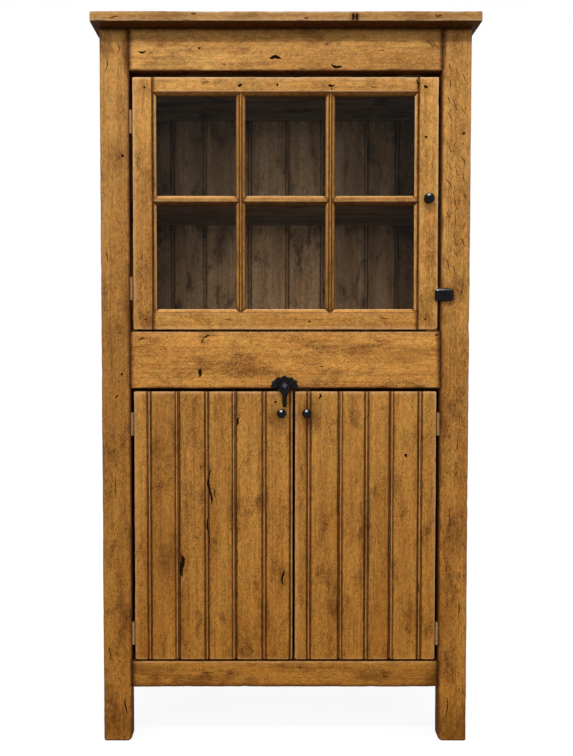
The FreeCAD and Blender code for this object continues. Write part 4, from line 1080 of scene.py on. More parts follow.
# %% Planks
PLANK_CORNER = 5.0  # mm, the round of each lower corner
CORNER_SPREAD = 14.0  # mm over which it fades out
PLANK_TONES = {"left_door": (1.03, 1.0, 1.07), "right_door": (1.06, 1.06, 1.04)}
# rows with "rub" pale the planks' tops, as rubbed wood and as a painted highlight; the others are stains
PLANK_STAINS_AND_HIGHLIGHT = {
    "left_door": [
        (-22, 870, 26, 50, 0.4), (-280, 830, 60, 60, 0.22), (-130, 640, 50, 70, 0.25),
        (-4, 445, 20, 40, 0.4), (-330, 500, 60, 90, 0.22), (-90, 300, 60, 50, 0.2),
        (-391, 938, 9, 9, 0.8, "rub"), (-205, 941, 190, 4, 0.8, "rub"), (-276, 440, 6, 8, 0.9, "rub"),
    ],
    "right_door": [
        (60, 880, 30, 46, 0.4), (330, 800, 40, 60, 0.25), (200, 600, 60, 80, 0.2),
        (120, 380, 50, 80, 0.25), (340, 330, 50, 70, 0.25), (205, 941, 190, 4, 0.8, "rub"),
    ],
}
for name, flip in (("left_door", 1), ("right_door", -1)):
    nodes = [f"{name}_plank_{number}" for number in (1, 2, 3)]
    for number, node in enumerate(nodes):
        low, high = extent(node)
        rubbed = {0: ("first",), 2: ("last",)}.get(number, ())
        section = beaded_section(node, DOOR_FACE, flip, number > 0, number < 2, rubbed)
        left = low[0] + (TONGUE if flip < 0 and number < 2 else 0.0)
        right = high[0] - (TONGUE if flip > 0 and number < 2 else 0.0)

        def round_lower_corners(solid, left=left, right=right, floor=low[2]):
            """Rubs the two lower corners of a plank round."""
            pull_corner(solid, left, 1, PLANK_CORNER, floor, CORNER_SPREAD)
            return pull_corner(solid, right, -1, PLANK_CORNER, floor, CORNER_SPREAD)

        board = sweep(
            "z", low[2], high[2], section, 101 + 10 * number + 50 * (flip < 0), WORN_ENDS,
            (1.8, 1.8), RING_STEP, 4.0, round_lower_corners, tone=PLANK_TONES[name][number],
            stains_shade_and_highlight=PLANK_STAINS_AND_HIGHLIGHT[name], fine=(6, 0),
        )
        make_piece(node, [board], WAXED_PINE)
    print(name, "beads at", [round(x) for node in nodes for x in bead_centres(node, DOOR_FACE)])

# %% [markdown]
# Two ledges hold the planks of a door together. The frame keeps both in one node, so its mesh is
# first split into separate solids, and each of them is drawn again as a board with eased edges.

# %% Ledges behind the doors
def split_blocks(node):
    """The boxes of the separate solids of a CAD node, in mm, found by walking its edges."""
    mesh = frame["nodes"][node].data
    points = np.array([v.co for v in mesh.vertices]) / MM
    keys = {}
    root = np.empty(len(points), int)
    for index, point in enumerate(np.round(points, 2)):
        root[index] = keys.setdefault(tuple(point), index)
    parent = {int(r): int(r) for r in set(root)}

    def find(i):
        while parent[i] != i:
            i = parent[i]
        return i

    for edge in mesh.edges:
        a, b = find(int(root[edge.vertices[0]])), find(int(root[edge.vertices[1]]))
        parent[a] = b
    groups = {}
    for index in range(len(points)):
        groups.setdefault(find(int(root[index])), []).append(points[index])
    boxes = [(np.min(group, 0), np.max(group, 0)) for group in groups.values()]
    return sorted(boxes, key=lambda box: tuple(np.round(box[0], 1)))


def plain_blocks(node, seed, ease, kinds="rrrr", tone=1.0, boxes=None):
    """Redraws each box of a node as a plain eased board along its longest side."""
    boards = []
    for number, (low, high) in enumerate(boxes or split_blocks(node)):
        axis = "xyz"[int(np.argmax(high - low))]
        across, through, along = AXES[axis]
        section = rectangle((low[across], high[across]), (low[through], high[through]), ease, kinds)
        boards.append(sweep(
            axis, low[along], high[along], section, seed + number, WORN_ENDS, (1.2, 1.2), 16.0,
            2.0, tone=tone,
        ))
    make_piece(node, boards, DARK_PINE)


for number, name in enumerate(("left_door", "right_door")):
    plain_blocks(f"{name}_battens", 171 + 5 * number, 3.0)
print("ledges on each door:", len(split_blocks("left_door_battens")))

# %% [markdown]
# ## Back and shelves
#
# The inside was never waxed. Its boards are dark with age, and shade is painted on them where the inside is
# dim. Through the glass only the bead lines of the back and the edges of the shelves catch the light.

# %% Back boards
BACK_TONES_AND_SHADE = (0.66, 0.77, 0.88, 1.02, 1.04, 0.86, 0.72, 0.62)  # painted shade: the boards towards the sides are darker, as less light reaches them through the panes
BACK_PAINTED_SHADE = [  # painted shade in the corner over the middle shelf, under the ceiling and at the sides
    (0, 1116, 900, 36, 1.2), (0, 1775, 900, 56, 0.36), (0, 1440, 900, 30, 0.3),
    (-410, 1450, 50, 420, 0.4), (410, 1450, 60, 420, 0.5),
]
for number in range(1, 9):
    node = f"back_board_{number}"
    low, high = extent(node)
    section = beaded_section(node, BACK_FACE, 1, number > 1, number < 8, lean=0.8, quirk_lip=1.3)
    board = sweep(
        "z", low[2], high[2], section, 201 + 7 * number, STANDING_ENDS, (1.0, 0.5), 20.0, 2.0,
        tone=BACK_TONES_AND_SHADE[number - 1], stains_shade_and_highlight=BACK_PAINTED_SHADE,
    )
    make_piece(node, [board], DARK_PINE)
print("back boards:", len(BACK_TONES_AND_SHADE))

# %% [markdown]
# The shelves rest on cleats that are nailed to the sides and the back. Only their front edges are seen, so
# `plain_blocks` draws them all, and a short table gives each its tone. The low tones of the upper shelf,
# the ceiling, their cleats and the door stops are painted shade, where the inside is dim behind the glass.

# %% Shelves, ceiling, cleats and stops
CLEAT_THICK = 18.0


def cleat_boxes(node):
    """The strips under a loose board: one along the back and one along each side."""
    low, high = extent(node)
    inner = high[0] - CLEAT_THICK
    along_back = (np.array((-inner, high[1] - CLEAT_THICK, low[2])), np.array((inner, high[1], high[2])))
    along_left = (low, np.array((-inner, high[1], high[2])))
    along_right = (np.array((inner, low[1], low[2])), high)
    return [along_back, along_left, along_right]


def stop_boxes(node):
    """The two door stops; the lower one has a lip under the middle rail."""
    boxes = []
    for low, high in split_blocks(node):
        if low[1] < FRAME_BACK - 1.0:
            boxes.append((low, np.array((high[0], FRAME_BACK, extent("middle_rail")[0][2]))))
            low = np.array((low[0], FRAME_BACK, low[2]))
        boxes.append((low, high))
    return boxes


INSIDE_TONES_AND_SHADE = (  # node, tone and how it is divided into boxes
    ("upper_shelf", 0.27, split_blocks), ("middle_shelf", 0.7, split_blocks),
    ("lower_shelf", 0.7, split_blocks), ("floor_board", 0.8, split_blocks),
    ("ceiling_board", 0.32, split_blocks), ("ceiling_cleats", 0.3, cleat_boxes),
    ("upper_shelf_cleats", 0.26, cleat_boxes), ("lower_shelf_cleats", 0.6, cleat_boxes),
    ("door_stops", 0.22, stop_boxes),
)
for number, (node, tone, divide) in enumerate(INSIDE_TONES_AND_SHADE):
    plain_blocks(node, 301 + 9 * number, 1.5, "rjjr", tone, divide(node))
print("inside:", [row[0] for row in INSIDE_TONES_AND_SHADE])

# %% [markdown]
# ## Glazed door
#
# The sash has a moulding on every inner edge: a small step, the quirk, and then a shallow curve
# that falls to the glass. Where two mouldings meet, one is scribed over the other, which looks like
# a mitre. A rail or muntin therefore ends further in the lower a point of its section lies:
# `moulding_reach` gives how far the moulding that it meets has come out at that depth.

# %% Sash sections
MOULDING, MOULDING_QUIRK, MOULDING_DEPTH, MOULDING_BULGE = 9.5, 1.2, 8.5, 1.0  # mm
MOULDING_KINDS = ("quirk", "lip", "", "", "bead", "rubbed")
LEVEL_KINDS = ("", "", "", "bead", "rubbed", "rubbed")  # dust is wiped off the level mouldings, and their upward faces are pale, as rubbed wood and as a painted highlight
UPRIGHT_KINDS = ("faint", "", "", "", "faint", "lip")  # putty and smoke have crept over the bars' edges
GLASS_SEAT, REBATE = 11.0, 8.0
MUNTIN_FACE, MUNTIN_WEB = 7.0, 8.0
STILE_FACE, SASH_BOTTOM_FACE, SASH_TOP_FACE = 51.5, 44.5, 38.0
SASH_SAG, MUNTIN_SAG = 0.2, 0.1  # mm, planed finer than the case
SASH_LOW, SASH_HIGH = extent("glazed_door_hinge_stile")
SASH_LEFT, SASH_RIGHT = SASH_LOW[0], extent("glazed_door_lock_stile")[1][0]
SASH_BOTTOM, SASH_TOP = SASH_LOW[2], SASH_HIGH[2]
INNER_LEFT, INNER_RIGHT = SASH_LEFT + STILE_FACE, SASH_RIGHT - STILE_FACE
INNER_BOTTOM, INNER_TOP = SASH_BOTTOM + SASH_BOTTOM_FACE, SASH_TOP - SASH_TOP_FACE
THICKNESS = SASH_HIGH[1] - DOOR_FACE


def moulding_depth(share):
    """Depth behind the door's face, from the quirk (0) to the sight line (1)."""
    straight = MOULDING_QUIRK + (MOULDING_DEPTH - MOULDING_QUIRK) * share
    return straight - 4 * MOULDING_BULGE * share * (1 - share)


def moulding_reach(depth):
    """How far out from the flat a moulding has come at this depth behind the door's face."""
    shares = np.linspace(0, 1, 40)
    if depth <= MOULDING_QUIRK:
        return 0.0
    if depth > GLASS_SEAT + 0.3:
        return MOULDING - REBATE
    return MOULDING * float(np.interp(depth, [moulding_depth(s) for s in shares], shares))


def moulded_edge(edge, inward, kinds=MOULDING_KINDS):
    """Corners from the flat face, down the quirk and over the moulding to the glass rebate.

    inward is the way from the flat to the glass, and kinds say how each step of the curve is worn."""
    corners = [(edge, 0.0, 0.5, "lip" if kinds[0] else "edge"), (edge, MOULDING_QUIRK, 0, "lip")]
    for step, kind in enumerate(kinds, 1):
        share = step / len(kinds)
        corners.append((edge + inward * MOULDING * share, moulding_depth(share), 0, kind))
    corners.append((edge + inward * MOULDING, GLASS_SEAT, 0, "joint"))
    return corners


def bar_section(outer, edge, inward, kinds=MOULDING_KINDS):
    """A stile's or rail's section as (place across, depth), from its outer edge to its moulded one."""
    wall = edge + inward * (MOULDING - REBATE)
    corners = [(outer, 0.0, 1.6, "rubbed")] + moulded_edge(edge, inward, kinds)
    return corners + [(wall, GLASS_SEAT, 0, ""), (wall, THICKNESS, 0.5, ""), (outer, THICKNESS, 0.8, "")]


def muntin_corners(centre, kinds):
    """A muntin's section as (place across, depth)."""
    half, web = MUNTIN_FACE / 2, MUNTIN_WEB / 2
    back = [(centre + web, GLASS_SEAT, 0, ""), (centre + web, THICKNESS, 0.4, "")]
    front = [(centre - web, THICKNESS, 0.4, ""), (centre - web, GLASS_SEAT, 0, "")]
    first, last = moulded_edge(centre + half, 1, kinds), moulded_edge(centre - half, -1, kinds)
    return first + back + front + last[::-1]


def upright(corners):
    """Section points (x, depth) as (x, y)."""
    return [(a, DOOR_FACE + d, ease, kind) for a, d, ease, kind in corners]


def level(corners):
    """Section points (z, depth) as (y, z)."""
    return [(DOOR_FACE + d, a, ease, kind) for a, d, ease, kind in corners]


# %% [markdown]
# The stiles run the whole height of the door and hold the rails between them. Hands reach for their
# outer edges, so these are worn the most, and the lower corner at the lock side is worn round.

# %% Stiles
STILE_STAINS = [
    (368, 1613, 8, 8, 0.5), (-371, 1740, 22, 26, 0.3), (371, 1738, 20, 26, 0.3),
    (-376, 1140, 20, 26, 0.35), (372, 1140, 22, 24, 0.35), (-385, 1480, 20, 80, 0.15),
]
STILE_CORNER = {-1: 3.0, 1: 9.0}  # the lock side's lower corner has been caught by many sleeves
STILE_SPREAD = 26.0
for side, node in ((-1, "glazed_door_hinge_stile"), (1, "glazed_door_lock_stile")):
    outer = SASH_LEFT if side < 0 else SASH_RIGHT
    section = upright(bar_section(outer, outer - side * STILE_FACE, -side))

    def round_corner(solid, outer=outer, side=side):
        """Rubs the outer lower corner of a stile round."""
        return pull_corner(solid, outer, -side, STILE_CORNER[side], SASH_BOTTOM, STILE_SPREAD)

    board = sweep(
        "z", SASH_BOTTOM, SASH_TOP, section, 401 + side, WORN_ENDS, (1.6, 1.6), RING_STEP, 4.0,
        round_corner, sag=SASH_SAG, tone=1.08 + 0.04 * side, stains_shade_and_highlight=STILE_STAINS, fine=(11, 0),
    )
    make_piece(node, [board], WAXED_PINE)
print("stile points:", len(pieces["glazed_door_lock_stile"].data.vertices))

# %% [markdown]
# The rails butt the stiles' flat faces, and their mouldings are scribed over those of the stiles. A
# boolean cut could do that, but a function that shortens each point of the section is exact.

# %% Sash rails
SHOULDER_GAP = 0.15


def scribe_level(y, z):
    """How far a level piece stops short of the flat edge of the stile that it meets."""
    return moulding_reach(y - DOOR_FACE) + SHOULDER_GAP


def scribe_upright(x, y):
    """The same for an upright piece, which meets a rail."""
    return moulding_reach(y - DOOR_FACE) + SHOULDER_GAP


for node, outer, edge, inward, tone in (
    # the bottom rail's higher tone is painted light, as on the middle rail
    ("glazed_door_bottom_rail", SASH_BOTTOM, INNER_BOTTOM, 1, 1.12),
    ("glazed_door_top_rail", SASH_TOP, INNER_TOP, -1, 1.04),
):
    section = level(bar_section(outer, edge, inward, LEVEL_KINDS))
    board = sweep(
        "x", INNER_LEFT, INNER_RIGHT, section, 421 + inward, FITTED_ENDS, (0.3, 0.3), RING_STEP,
        5.0, scribe=scribe_level, sag=SASH_SAG, tone=tone,
    )
    if inward < 0:  # painted shade: the top moulding looks down, so it is darkened and never rubbed
        board["soil_and_shade"] = np.maximum(board["soil_and_shade"], 0.5 * (board["points"][:, 2] < edge - 1.0))
        board["rub"] = np.where(board["points"][:, 2] < edge - 1.0, 0.0, board["rub"])
    make_piece(node, [board], WAXED_PINE)
print("sash opening:", round(INNER_RIGHT - INNER_LEFT), "by", round(INNER_TOP - INNER_BOTTOM), "mm")

# %% [markdown]
# Muntins are thin bars with a moulding on both sides. The upright ones run from rail to rail, and
# the level ones fit between them, so the places of the uprights say where the level ones end.

# %% Muntins
UPRIGHTS = [float(middle_of(f"upright_muntin_{number}")[0]) for number in (1, 2)]
CROSS_Z = float(middle_of("cross_muntin_1")[2])
for number, centre in enumerate(UPRIGHTS, 1):
    node = f"upright_muntin_{number}"
    section = upright(muntin_corners(centre, UPRIGHT_KINDS))
    board = sweep(
        "z", INNER_BOTTOM, INNER_TOP, section, 440 + number, FITTED_ENDS, (0.2, 0.2), RING_STEP,
        3.0, scribe=scribe_upright, sag=MUNTIN_SAG, tone=0.82,
    )
    make_piece(node, [board], WAXED_PINE)

edges = [INNER_LEFT]
for centre in UPRIGHTS:
    edges += [centre - MUNTIN_FACE / 2, centre + MUNTIN_FACE / 2]
edges.append(INNER_RIGHT)
section = level(muntin_corners(CROSS_Z, LEVEL_KINDS))
for number in (1, 2, 3):
    node = f"cross_muntin_{number}"
    first, last = edges[2 * number - 2 : 2 * number]
    board = sweep(
        "x", first, last, section, 450 + number, FITTED_ENDS, (0.2, 0.2), RING_STEP, 3.0,
        scribe=scribe_level, sag=MUNTIN_SAG, tone=0.95,
    )
    # painted shade: the moulding that looks down is darkened and not rubbed
    looks_down = board["points"][:, 2] < CROSS_Z - MUNTIN_FACE / 2 - 0.3
    board["soil_and_shade"] = np.maximum(board["soil_and_shade"], 0.85 * looks_down)
    board["rub"] = np.where(looks_down, 0.0, board["rub"])
    make_piece(node, [board], WAXED_PINE)
print("cross muntins span", [round(e) for e in edges])

# %% [markdown]
# The panes and the sloping beads of putty behind them are right as the CAD draws them, because glass
# is flat and putty is struck with a knife. They keep their shape and only get a material.

# %% Glass and putty
def dress(node, material):
    """Gives a CAD node that keeps its shape its material."""
    frame["nodes"][node].data.materials.clear()
    frame["nodes"][node].data.materials.append(material)


dress("glass_panes", WINDOW_GLASS)
dress("glazing_putty", LINSEED_PUTTY)
print("panes and putty dressed")

# %% [markdown]
# ## Knots, gashes, worm holes and shakes
#
# Damage is cut out of the boards, because a painted mark doesn't catch the light. One shape does for
# all of it: a spindle, long and thin for a shake, short and round for a hole, which narrows as it
# goes in. Its edge wanders, so no two marks are alike. All marks of a board are cut at once, and
# none of them overlap.

# %% Marks
SPINDLE_POINTS = 11


def spindle(x, z, length, width, depth, turn, face, seed):
    """A closed spindle that enters the wood at (x, z), turned by so many degrees from level."""
    rng = np.random.default_rng(seed)
    share = np.linspace(0.0, 1.0, SPINDLE_POINTS)
    bow = np.sin(share * math.pi * 2 + rng.uniform(0, 6.28)) * 0.28 * width * min(length / width / 4, 2.0)
    half = 0.5 * width * np.maximum(np.sin(share * math.pi), 0.0) ** 0.7
    top = half * rng.uniform(0.7, 1.25, SPINDLE_POINTS)
    bottom = half * rng.uniform(0.7, 1.25, SPINDLE_POINTS)
    along = (share - 0.5) * length
    a = np.concatenate([along, along[1:-1][::-1]])
    b = np.concatenate([bow + top, (bow - bottom)[1:-1][::-1]])
    middle = np.concatenate([bow, bow[1:-1][::-1]])
    cosine, sine = math.cos(math.radians(turn)), math.sin(math.radians(turn))
    rings = []
    for out, narrow in ((1.5, 1.15), (0.0, 1.0), (-0.6 * depth, 0.6), (-depth, 0.15)):
        p, q = a * (0.5 + 0.5 * narrow), middle + (b - middle) * narrow
        rings.append(
            [(x + u * cosine - v * sine, face - out, z + u * sine + v * cosine) for u, v in zip(p, q)]
        )
    return stacked(rings)


def mark(node, rows, seed):
    """Cuts marks, rows of (x, z, length, width, depth, turn), into the front of a board."""
    face = extent(node)[0][1]
    solids = [spindle(*row, face, seed + number) for number, row in enumerate(rows)]
    mesh = mesh_of("marks", solids)
    mesh.materials.append(BROKEN_WOOD)
    turn_outwards(mesh)
    cut(pieces[node], mesh)


MARKS = {
    "top_board": [
        (171, 1905.5, 19, 7.5, 3.5, 84), (181.8, 1905.5, 19, 7.5, 3.5, 98),
        (-236, 1913, 15, 4, 2, 5), (52, 1902, 13, 3.6, 1.8, -8), (389, 1908, 20, 3.6, 2, 0),
        (-440, 1905, 26, 3, 1.6, 2),
    ],
    "top_rail": [
        (-374.3, 1832.4, 24, 5.4, 3, 3), (-225.3, 1842.7, 8, 5.6, 4, 0),
        (-26.5, 1818.3, 32, 10.5, 4, -4), (-352, 1830.5, 10, 2.6, 1.5, 0),
        (108.2, 1853, 15, 3.2, 2, -5), (133.8, 1795, 34, 8, 3.2, -15),
        (377, 1855, 34, 2.6, 1.4, -54), (393, 1848, 30, 2.4, 1.4, -50),
        (-160, 1800, 16, 2.4, 1.4, 2), (40, 1790, 18, 2.4, 1.4, -3), (250, 1836, 22, 2.2, 1.2, 4),
    ],
    "glazed_door_top_rail": [
        (346.4, 1750, 30, 5, 3, 90), (-119.2, 1747.5, 14, 8.5, 4, 0), (-21.5, 1749, 7, 6.4, 4, 0),
        (120, 1746.9, 18, 6.4, 4, 0), (121.2, 1738.2, 5.6, 5, 3, 0), (-210, 1755, 26, 2.2, 1.2, 1),
        (230, 1742.5, 18, 2.2, 1.2, -3),
    ],
    "glazed_door_lock_stile": [
        (366.5, 1744.5, 9, 8, 5, 0), (369.5, 1613.2, 7.4, 6.6, 4, 0), (386, 1540, 26, 2.2, 1.2, 84),
    ],
    "glazed_door_hinge_stile": [
        (-378, 1300, 26, 2.4, 1.4, 92),
    ],
    "glazed_door_bottom_rail": [
        (-150, 1134, 24, 2.4, 1.3, 2), (64, 1129, 9, 4, 2, 0), (262, 1138, 30, 2.2, 1.2, -2),
    ],
    "front_post_left": [
        (-428, 1563.5, 9.5, 7.6, 4.5, 80), (-470, 1300, 40, 2.4, 1.4, 87),
        (-433, 990, 7, 6.4, 3, 0), (-452, 690, 60, 2.6, 1.5, 91), (-470, 240, 46, 2.6, 1.5, 88),
        (-428, 92, 56, 4, 2.2, 92), (-468, 1800, 46, 2.6, 1.6, 84), (-436, 1846, 34, 2.4, 1.4, 95),
        (-447, 930, 12, 5, 2.2, 30),
    ],
    "middle_rail": [
        (-379, 1084, 16, 4.6, 2.4, 0), (-209, 1089.8, 21, 5.4, 3, 6),
        (-219.6, 1077.4, 15, 4.4, 2.4, 58), (-225.9, 993.5, 25, 11, 3.6, 78),
        (95, 1010, 12, 3.2, 1.6, -6), (250, 1078, 34, 2.2, 1.2, 1), (-120, 1040, 26, 2.2, 1.2, -1),
        (400, 1093, 10, 5, 2, 40),
    ],
    "bottom_rail": [
        (-210, 186, 40, 1.8, 1.2, 1), (40, 200, 10, 3.4, 2, 10), (270, 176, 52, 1.8, 1.2, -1),
    ],
    "left_door_plank_2": [
        (-276, 475.5, 62, 12.5, 4.5, 93), (-200.6, 688, 104, 9, 3.8, 90),
        (-205, 578, 100, 5.2, 3, 90.5), (-188, 672, 30, 3.4, 1.8, 102),
    ],
    "left_door_plank_3": [
        (-25.2, 915.3, 8, 7.2, 5, 0), (-5, 445, 50, 5.6, 2.6, 91), (-126, 864, 26, 6.5, 2.8, 66),
    ],
    "right_door_plank_3": [
        (93, 930, 17, 5.6, 3, 80),
    ],
    "right_door_plank_1": [
        (322, 772.2, 11, 8.6, 3, 80), (357, 420, 60, 2.4, 1.4, 90),
    ],
}

# the slanting drying cracks of the right post, on a jittered grid so that none of them meet
CRACK_ROWS, CRACK_COLUMNS = 15, (430, 448, 467)
CRACK_TOP, CRACK_PITCH, CRACK_STAGGER = 1795, 43, 14
CRACKS_LEFT_OUT = 0.38  # the share of the grid that stays whole
CLEAR_OF = ((468, 1626), middle_of("turn_button_screw")[::2])  # x and z of the hole and the button
CLEAR = 40
rng = np.random.default_rng(77)
POST_CRACKS = []
for row in range(CRACK_ROWS):
    for column, middle in enumerate(CRACK_COLUMNS):
        if rng.random() < CRACKS_LEFT_OUT:
            continue
        x, z = middle + rng.uniform(-3, 3), CRACK_TOP - CRACK_PITCH * row - CRACK_STAGGER * column
        crack = (x, z, rng.uniform(22, 40), rng.uniform(1.6, 2.6), 1.4, rng.uniform(98, 122))
        if all(math.dist((x, z), spot) > CLEAR for spot in CLEAR_OF):
            POST_CRACKS.append(crack)
MARKS["front_post_right"] = POST_CRACKS + [
    (468, 1622, 9.5, 7.4, 4.5, 75), (440, 610, 60, 2.6, 1.4, 91), (466, 360, 50, 2.6, 1.4, 89),
    (436, 90, 64, 3, 1.8, 88), (458, 800, 36, 2.6, 1.4, 96), (432, 470, 30, 2.4, 1.4, 94),
]
for number, (node, rows) in enumerate(MARKS.items()):
    mark(node, rows, 700 + 40 * number)
print("marks cut:", sum(len(rows) for rows in MARKS.values()))

# %% [markdown]
# ## Turned and forged things
#
# A lathe makes the knobs, pegs, pins and nails: a profile of (radius, height) is turned about its
# axis. Forged iron is never perfectly round, so a small random field sinks it here and there.

# %% Lathe
HAMMER_MARK = 9.0  # mm


def lathe(profile, centre, sides=40, lumps=0.0, seed=0, axis="y", out=-1.0):
    """Points and faces of a turned solid; profile rows are (radius, height) and out is the way up.

    lumps is how many mm the random field sinks it."""
    turns = 2 * math.pi * np.arange(sides) / sides
    across, through, along = AXES[axis]
    points = np.zeros((len(profile) * sides, 3))
    for row, (radius, height) in enumerate(profile):
        ring = slice(row * sides, (row + 1) * sides)
        points[ring, across] = radius * np.cos(turns)
        points[ring, through] = radius * np.sin(turns)
        points[ring, along] = out * height
    if lumps:
        swell = lumps * waves(points, [HAMMER_MARK] * 3, seed)
        scale = 1 + swell / np.maximum(np.linalg.norm(points, axis=1), 3.0)
        points = points * np.minimum(scale, 1.0)[:, None]
    rings = points.reshape(len(profile), sides, 3)
    return stacked([[tuple(p) for p in ring + np.array(centre)] for ring in rings])


def join_solids(name, solids, material, node, replace=True, angle=40.0):
    """One object from (points in mm, faces) pairs, with its faces turned outwards."""
    mesh = mesh_of(name, solids)
    turn_outwards(mesh)
    mesh.materials.append(material)
    smooth(mesh, angle)
    piece = link_piece(name, mesh, node)
    if replace:
        pieces[node] = piece
        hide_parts(node)


# %% [markdown]
# ## Knobs and pegs
#
# Each knob has a broad foot on the wood, a waist and a domed head. The pegs are whittled pins of
# dark wood, driven through the door's joints and cut off just proud of the face.

# %% Knobs
KNOB_PROJECTION = 26.0
RIM = 15.0  # mm from the door to the widest place
FOOT, WAIST = 0.84, 0.5  # shares of the radius
CROWN_STEPS = 9
KNOB_SIDES = 44
HIGHLIGHT_TOWARDS = (-0.18, -0.62, 0.76)  # the way from the crown to its painted highlight, up and to the left, towards the lamp as the camera sees it


def paint_highlight(piece, amounts):
    """Stores the painted highlight at each point of an iron piece, as its share of bright iron."""
    mesh = piece.data
    corner_point = np.empty(len(mesh.loops), np.int32)
    mesh.loops.foreach_get("vertex_index", corner_point)
    values = mesh.attributes.new("rub", "FLOAT", "CORNER")
    values.data.foreach_set("value", np.asarray(amounts)[corner_point].astype(np.float32))


def knob_profile(radius):
    """From the foot over the waist to the crown."""
    foot, waist = FOOT * radius, WAIST * radius
    rows = [(foot * 0.98, -1.0), (foot, 0.6), (foot * 0.97, 1.8), (foot * 0.8, 3.2)]
    rows += [(waist * 1.1, 4.0), (waist, 6.0), (waist * 1.05, 7.6)]
    rows += [(radius * 0.80, 9.4), (radius * 0.93, 11.2), (radius * 0.99, 13.2)]
    for step in range(1, CROWN_STEPS):
        turn = math.pi / 2 * step / CROWN_STEPS
        rows.append((radius * math.cos(turn), RIM + (KNOB_PROJECTION - RIM) * math.sin(turn)))
    return rows + [(0.4, KNOB_PROJECTION)]


def on_door(spot):
    """The place on the doors' face in front of a spot."""
    return (spot[0], DOOR_FACE, spot[2])


KNOBS = (("glazed_door_knob", 14.0), ("left_door_knob", 12.5), ("right_door_knob", 12.5))
for number, (node, radius) in enumerate(KNOBS):
    centre = on_door(middle_of(node))
    solid = lathe(knob_profile(radius), centre, KNOB_SIDES, 0.35, 500 + number)
    join_solids(node + "_iron", [solid], BLACK_IRON, node)
    # a highlight is painted on each crown, where it faces both the lamp and the camera
    crown = np.array(centre) + (0.0, -RIM, 0.0)
    points = np.array([v.co for v in pieces[node].data.vertices]) / MM - crown
    towards = points @ np.array(HIGHLIGHT_TOWARDS) / np.maximum(np.linalg.norm(points, axis=1), 1.0)
    paint_highlight(pieces[node], 0.9 * np.clip((towards - 0.90) / 0.09, 0, 1) * (points[:, 1] < 1.0))
print("knobs:", [f"{node} {2 * radius:.0f} mm" for node, radius in KNOBS])

# %% [markdown]
# Pegs lock the mortise and tenon joints of the door. They are turned with few sides, because a
# whittled pin isn't quite round, and the lumps of each come from its own height as a seed.

# %% Pegs
PEG = [(2.4, -20.0), (2.9, -1.0), (2.9, 0.1), (2.4, 0.35), (1.2, 0.45), (0.3, 0.46)]
pegs = []
for low, high in split_blocks("glazed_door_pegs"):
    centre = on_door((low + high) / 2)
    pegs.append(lathe(PEG, centre, 12, 0.25, int(centre[2])))
join_solids(
    "glazed_door_pegs_whittled", pegs, BROKEN_WOOD, "glazed_door_pegs"
)
print("pegs:", len(pegs))

# %% [markdown]
# ## Turn button
#
# A chunky block of forged iron with hammered bevels turns on a screw in the right post, over a thin
# washer. It is drawn as rounded-rectangle rings, from its back edge over the bevel to its face.

# %% Turn button
def rounded_rectangle(width, height, radius, steps=5):
    """Outline points of a rectangle with round corners, about its centre."""
    outline = []
    for cx, cz, start in ((1, 1, 0), (-1, 1, 90), (-1, -1, 180), (1, -1, 270)):
        for step in range(steps + 1):
            turn = math.radians(start + 90 * step / steps)
            x = cx * (width / 2 - radius) + radius * math.cos(turn)
            outline.append((x, cz * (height / 2 - radius) + radius * math.sin(turn)))
    return outline


BUTTON_LOW, BUTTON_HIGH = extent("turn_button")
BUTTON_MIDDLE = (BUTTON_LOW + BUTTON_HIGH) / 2
BUTTON_SIZE = BUTTON_HIGH - BUTTON_LOW
BUTTON_RINGS = (  # inset of the outline, height above the back and corner radius
    (0.8, 0.0, 4.0), (0.1, 1.0, 5.0), (0.0, 6.2, 5.0), (0.7, 7.6, 5.0), (4.0, 11.0, 4.0),
    (5.0, 11.7, 3.6), (7.0, 11.9, 3.0),
)
button_rings = []
for inset, out, radius in BUTTON_RINGS:
    outline = rounded_rectangle(BUTTON_SIZE[0] - 2 * inset, BUTTON_SIZE[2] - 2 * inset, radius)
    y = BUTTON_HIGH[1] - out
    button_rings.append([(BUTTON_MIDDLE[0] + x, y, BUTTON_MIDDLE[2] + z) for x, z in outline])
points, faces = stacked(button_rings)
points[:, 1] += 0.4 * np.clip(0.5 + 0.5 * waves(points, [8.0, 8.0, 8.0], 520), 0, 1)
join_solids(
    "turn_button_forged", [(points, faces)], BLACK_IRON, "turn_button"
)
# a highlight is painted along the top bevel, where it faces the lamp, and it fades towards the right end
out = BUTTON_HIGH[1] - points[:, 1]
on_bevel = (out > 7.0) & (out < 11.2) & (points[:, 2] > BUTTON_HIGH[2] - 5.0)
reach = np.clip((BUTTON_HIGH[0] - 12.0 - points[:, 0]) / 12.0, 0.15, 1.0)  # fades to the right end
paint_highlight(pieces["turn_button"], 0.8 * on_bevel * reach)
pivot = middle_of("turn_button_screw")
washer_place = (pivot[0], FRAME_FACE, pivot[2] + 1.4)
washer = lathe([(17.4, -0.3), (17.4, 0.15), (16.6, 0.3), (2.0, 0.32)], washer_place, 32)
join_solids("turn_button_washer", [washer], BLACK_IRON, "turn_button_screw", replace=False)
print("turn button in mm:", [round(size, 1) for size in BUTTON_SIZE])

# %% [markdown]
# ## Latch
#
# A pear of iron hangs from a square nut on a petalled plate. The plate is a shell with a raised rib
# to the point of each petal, and its edge dips between two petals. The pear is drawn as nested
# outlines that climb to a rounded front.

